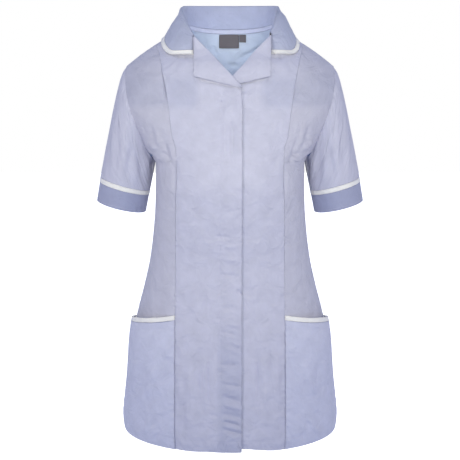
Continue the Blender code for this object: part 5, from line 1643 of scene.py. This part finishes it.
def dress_sides(finish):
    """Both side fronts, sleeves, cuffs, pockets and their braids. Gives the lines of stitches on the
    cloth and on the braids."""
    ring, share = armhole()
    sleeve = sleeve_sheet(ring, share)
    braid_start = sleeve.points[:, -1].copy()
    cuff_end = end_ring(CUFF_END_OUTER, CUFF_END_INNER, share)
    braid_end = braid_start + (cuff_end - braid_start) * (BRAID_WIDTH / CUFF_HEIGHT)
    sleeve.trim(end_row=SEAM_TRIM)
    sleeve_braid = tube_between(braid_start, braid_end, BRAID_STEPS, SEAM_TRIM, (BRAID - CLOTH) / 2)
    cuff_sheet = tube_between(braid_end, cuff_end, CUFF_STEPS, 0.0)
    pocket_sheet, pocket_braid = pocket_sheets()
    own, trims = [], []
    for mirror, name in ((1, "left"), (-1, "right")):
        side = side_front(mirror).trim(start_column=SEAM_TRIM, end_column=SEAM_TRIM, start_row=SEAM_TRIM)
        hemmed_cloth(f"side_front_{name}", side.mirrored(mirror), finish["side"])
        cuff, pocket = cuff_sheet.mirrored(mirror), pocket_sheet.mirrored(mirror)
        braids = [sheet.mirrored(mirror) for sheet in (pocket_braid, sleeve_braid)]
        cloth(f"sleeve_{name}", sleeve.mirrored(mirror), finish["tunic"])
        cloth(f"sleeve_trim_{name}", braids[1], finish["braid"], BRAID)
        cloth(f"cuff_{name}", cuff, finish["cuff"])
        cloth(f"pocket_{name}", pocket, finish["pocket"])
        cloth(f"pocket_trim_{name}", braids[0], finish["braid"], BRAID)
        own += [inset(pocket, edge, amount) for edge, amount in POCKET_STITCHES]
        own.append(inset(cuff, 3, CUFF_STITCH))
        trims += [inset(sheet, 2, amount) for amount in BRAID_STITCHES for sheet in braids]
    return own, trims


def dress_neck(finish):
    """The collar, its braid, the neck band, the lapels and the labels. Gives the lines of stitches on
    the lapels and on the braid."""
    collar, braid, band = collar_sheets()
    cloth("collar", collar, finish["collar"])
    cloth("collar_trim", braid, finish["braid"], BRAID)
    cloth("neck_band", band, finish["band"])
    lapels = revers_sheet(REVERS_RIGHT, 1, over_fly), revers_sheet(REVERS_LEFT, -1, over_under)
    for name, lapel in zip(("revers_right", "revers_left"), lapels):
        cloth(name, lapel, finish["tunic"], REVERS_CLOTH)
    for name, sheet in labels().items():
        cloth(name, sheet, finish["label"], LABEL_CLOTH)
    return [inset(sheet, 3, LAPEL_STITCH) for sheet in lapels], [inset(braid, 2, a) for a in BRAID_STITCHES]


def dress_zip(finish):
    """The zip's tapes, and the finish of its slider and pull."""
    for name, rows in TAPES.items():
        cloth(name, zip_tape(rows), finish["tape"], TAPE_THICKNESS)
    for node in ("zip_slider", "zip_pull"):
        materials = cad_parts[node].data.materials
        materials.clear()
        materials.append(finish["metal"])


def main():
    """The whole tunic, its stitches and the studio."""
    finish = finishes()
    right, hems = dress_body(finish)
    own, trims = dress_sides(finish)
    lapel_lines, collar_lines = dress_neck(finish)
    dress_zip(finish)
    fly = inset(right, 1, FLY_STITCH, FLY_STITCH_START)
    stitches("tunic_stitches", [placket_line(right), *hems, *own, *lapel_lines, fly], finish["thread"])
    stitches("braid_stitches", trims + collar_lines, finish["white thread"], BRAID)
    zip_teeth(finish["nylon"])
    studio()


main()
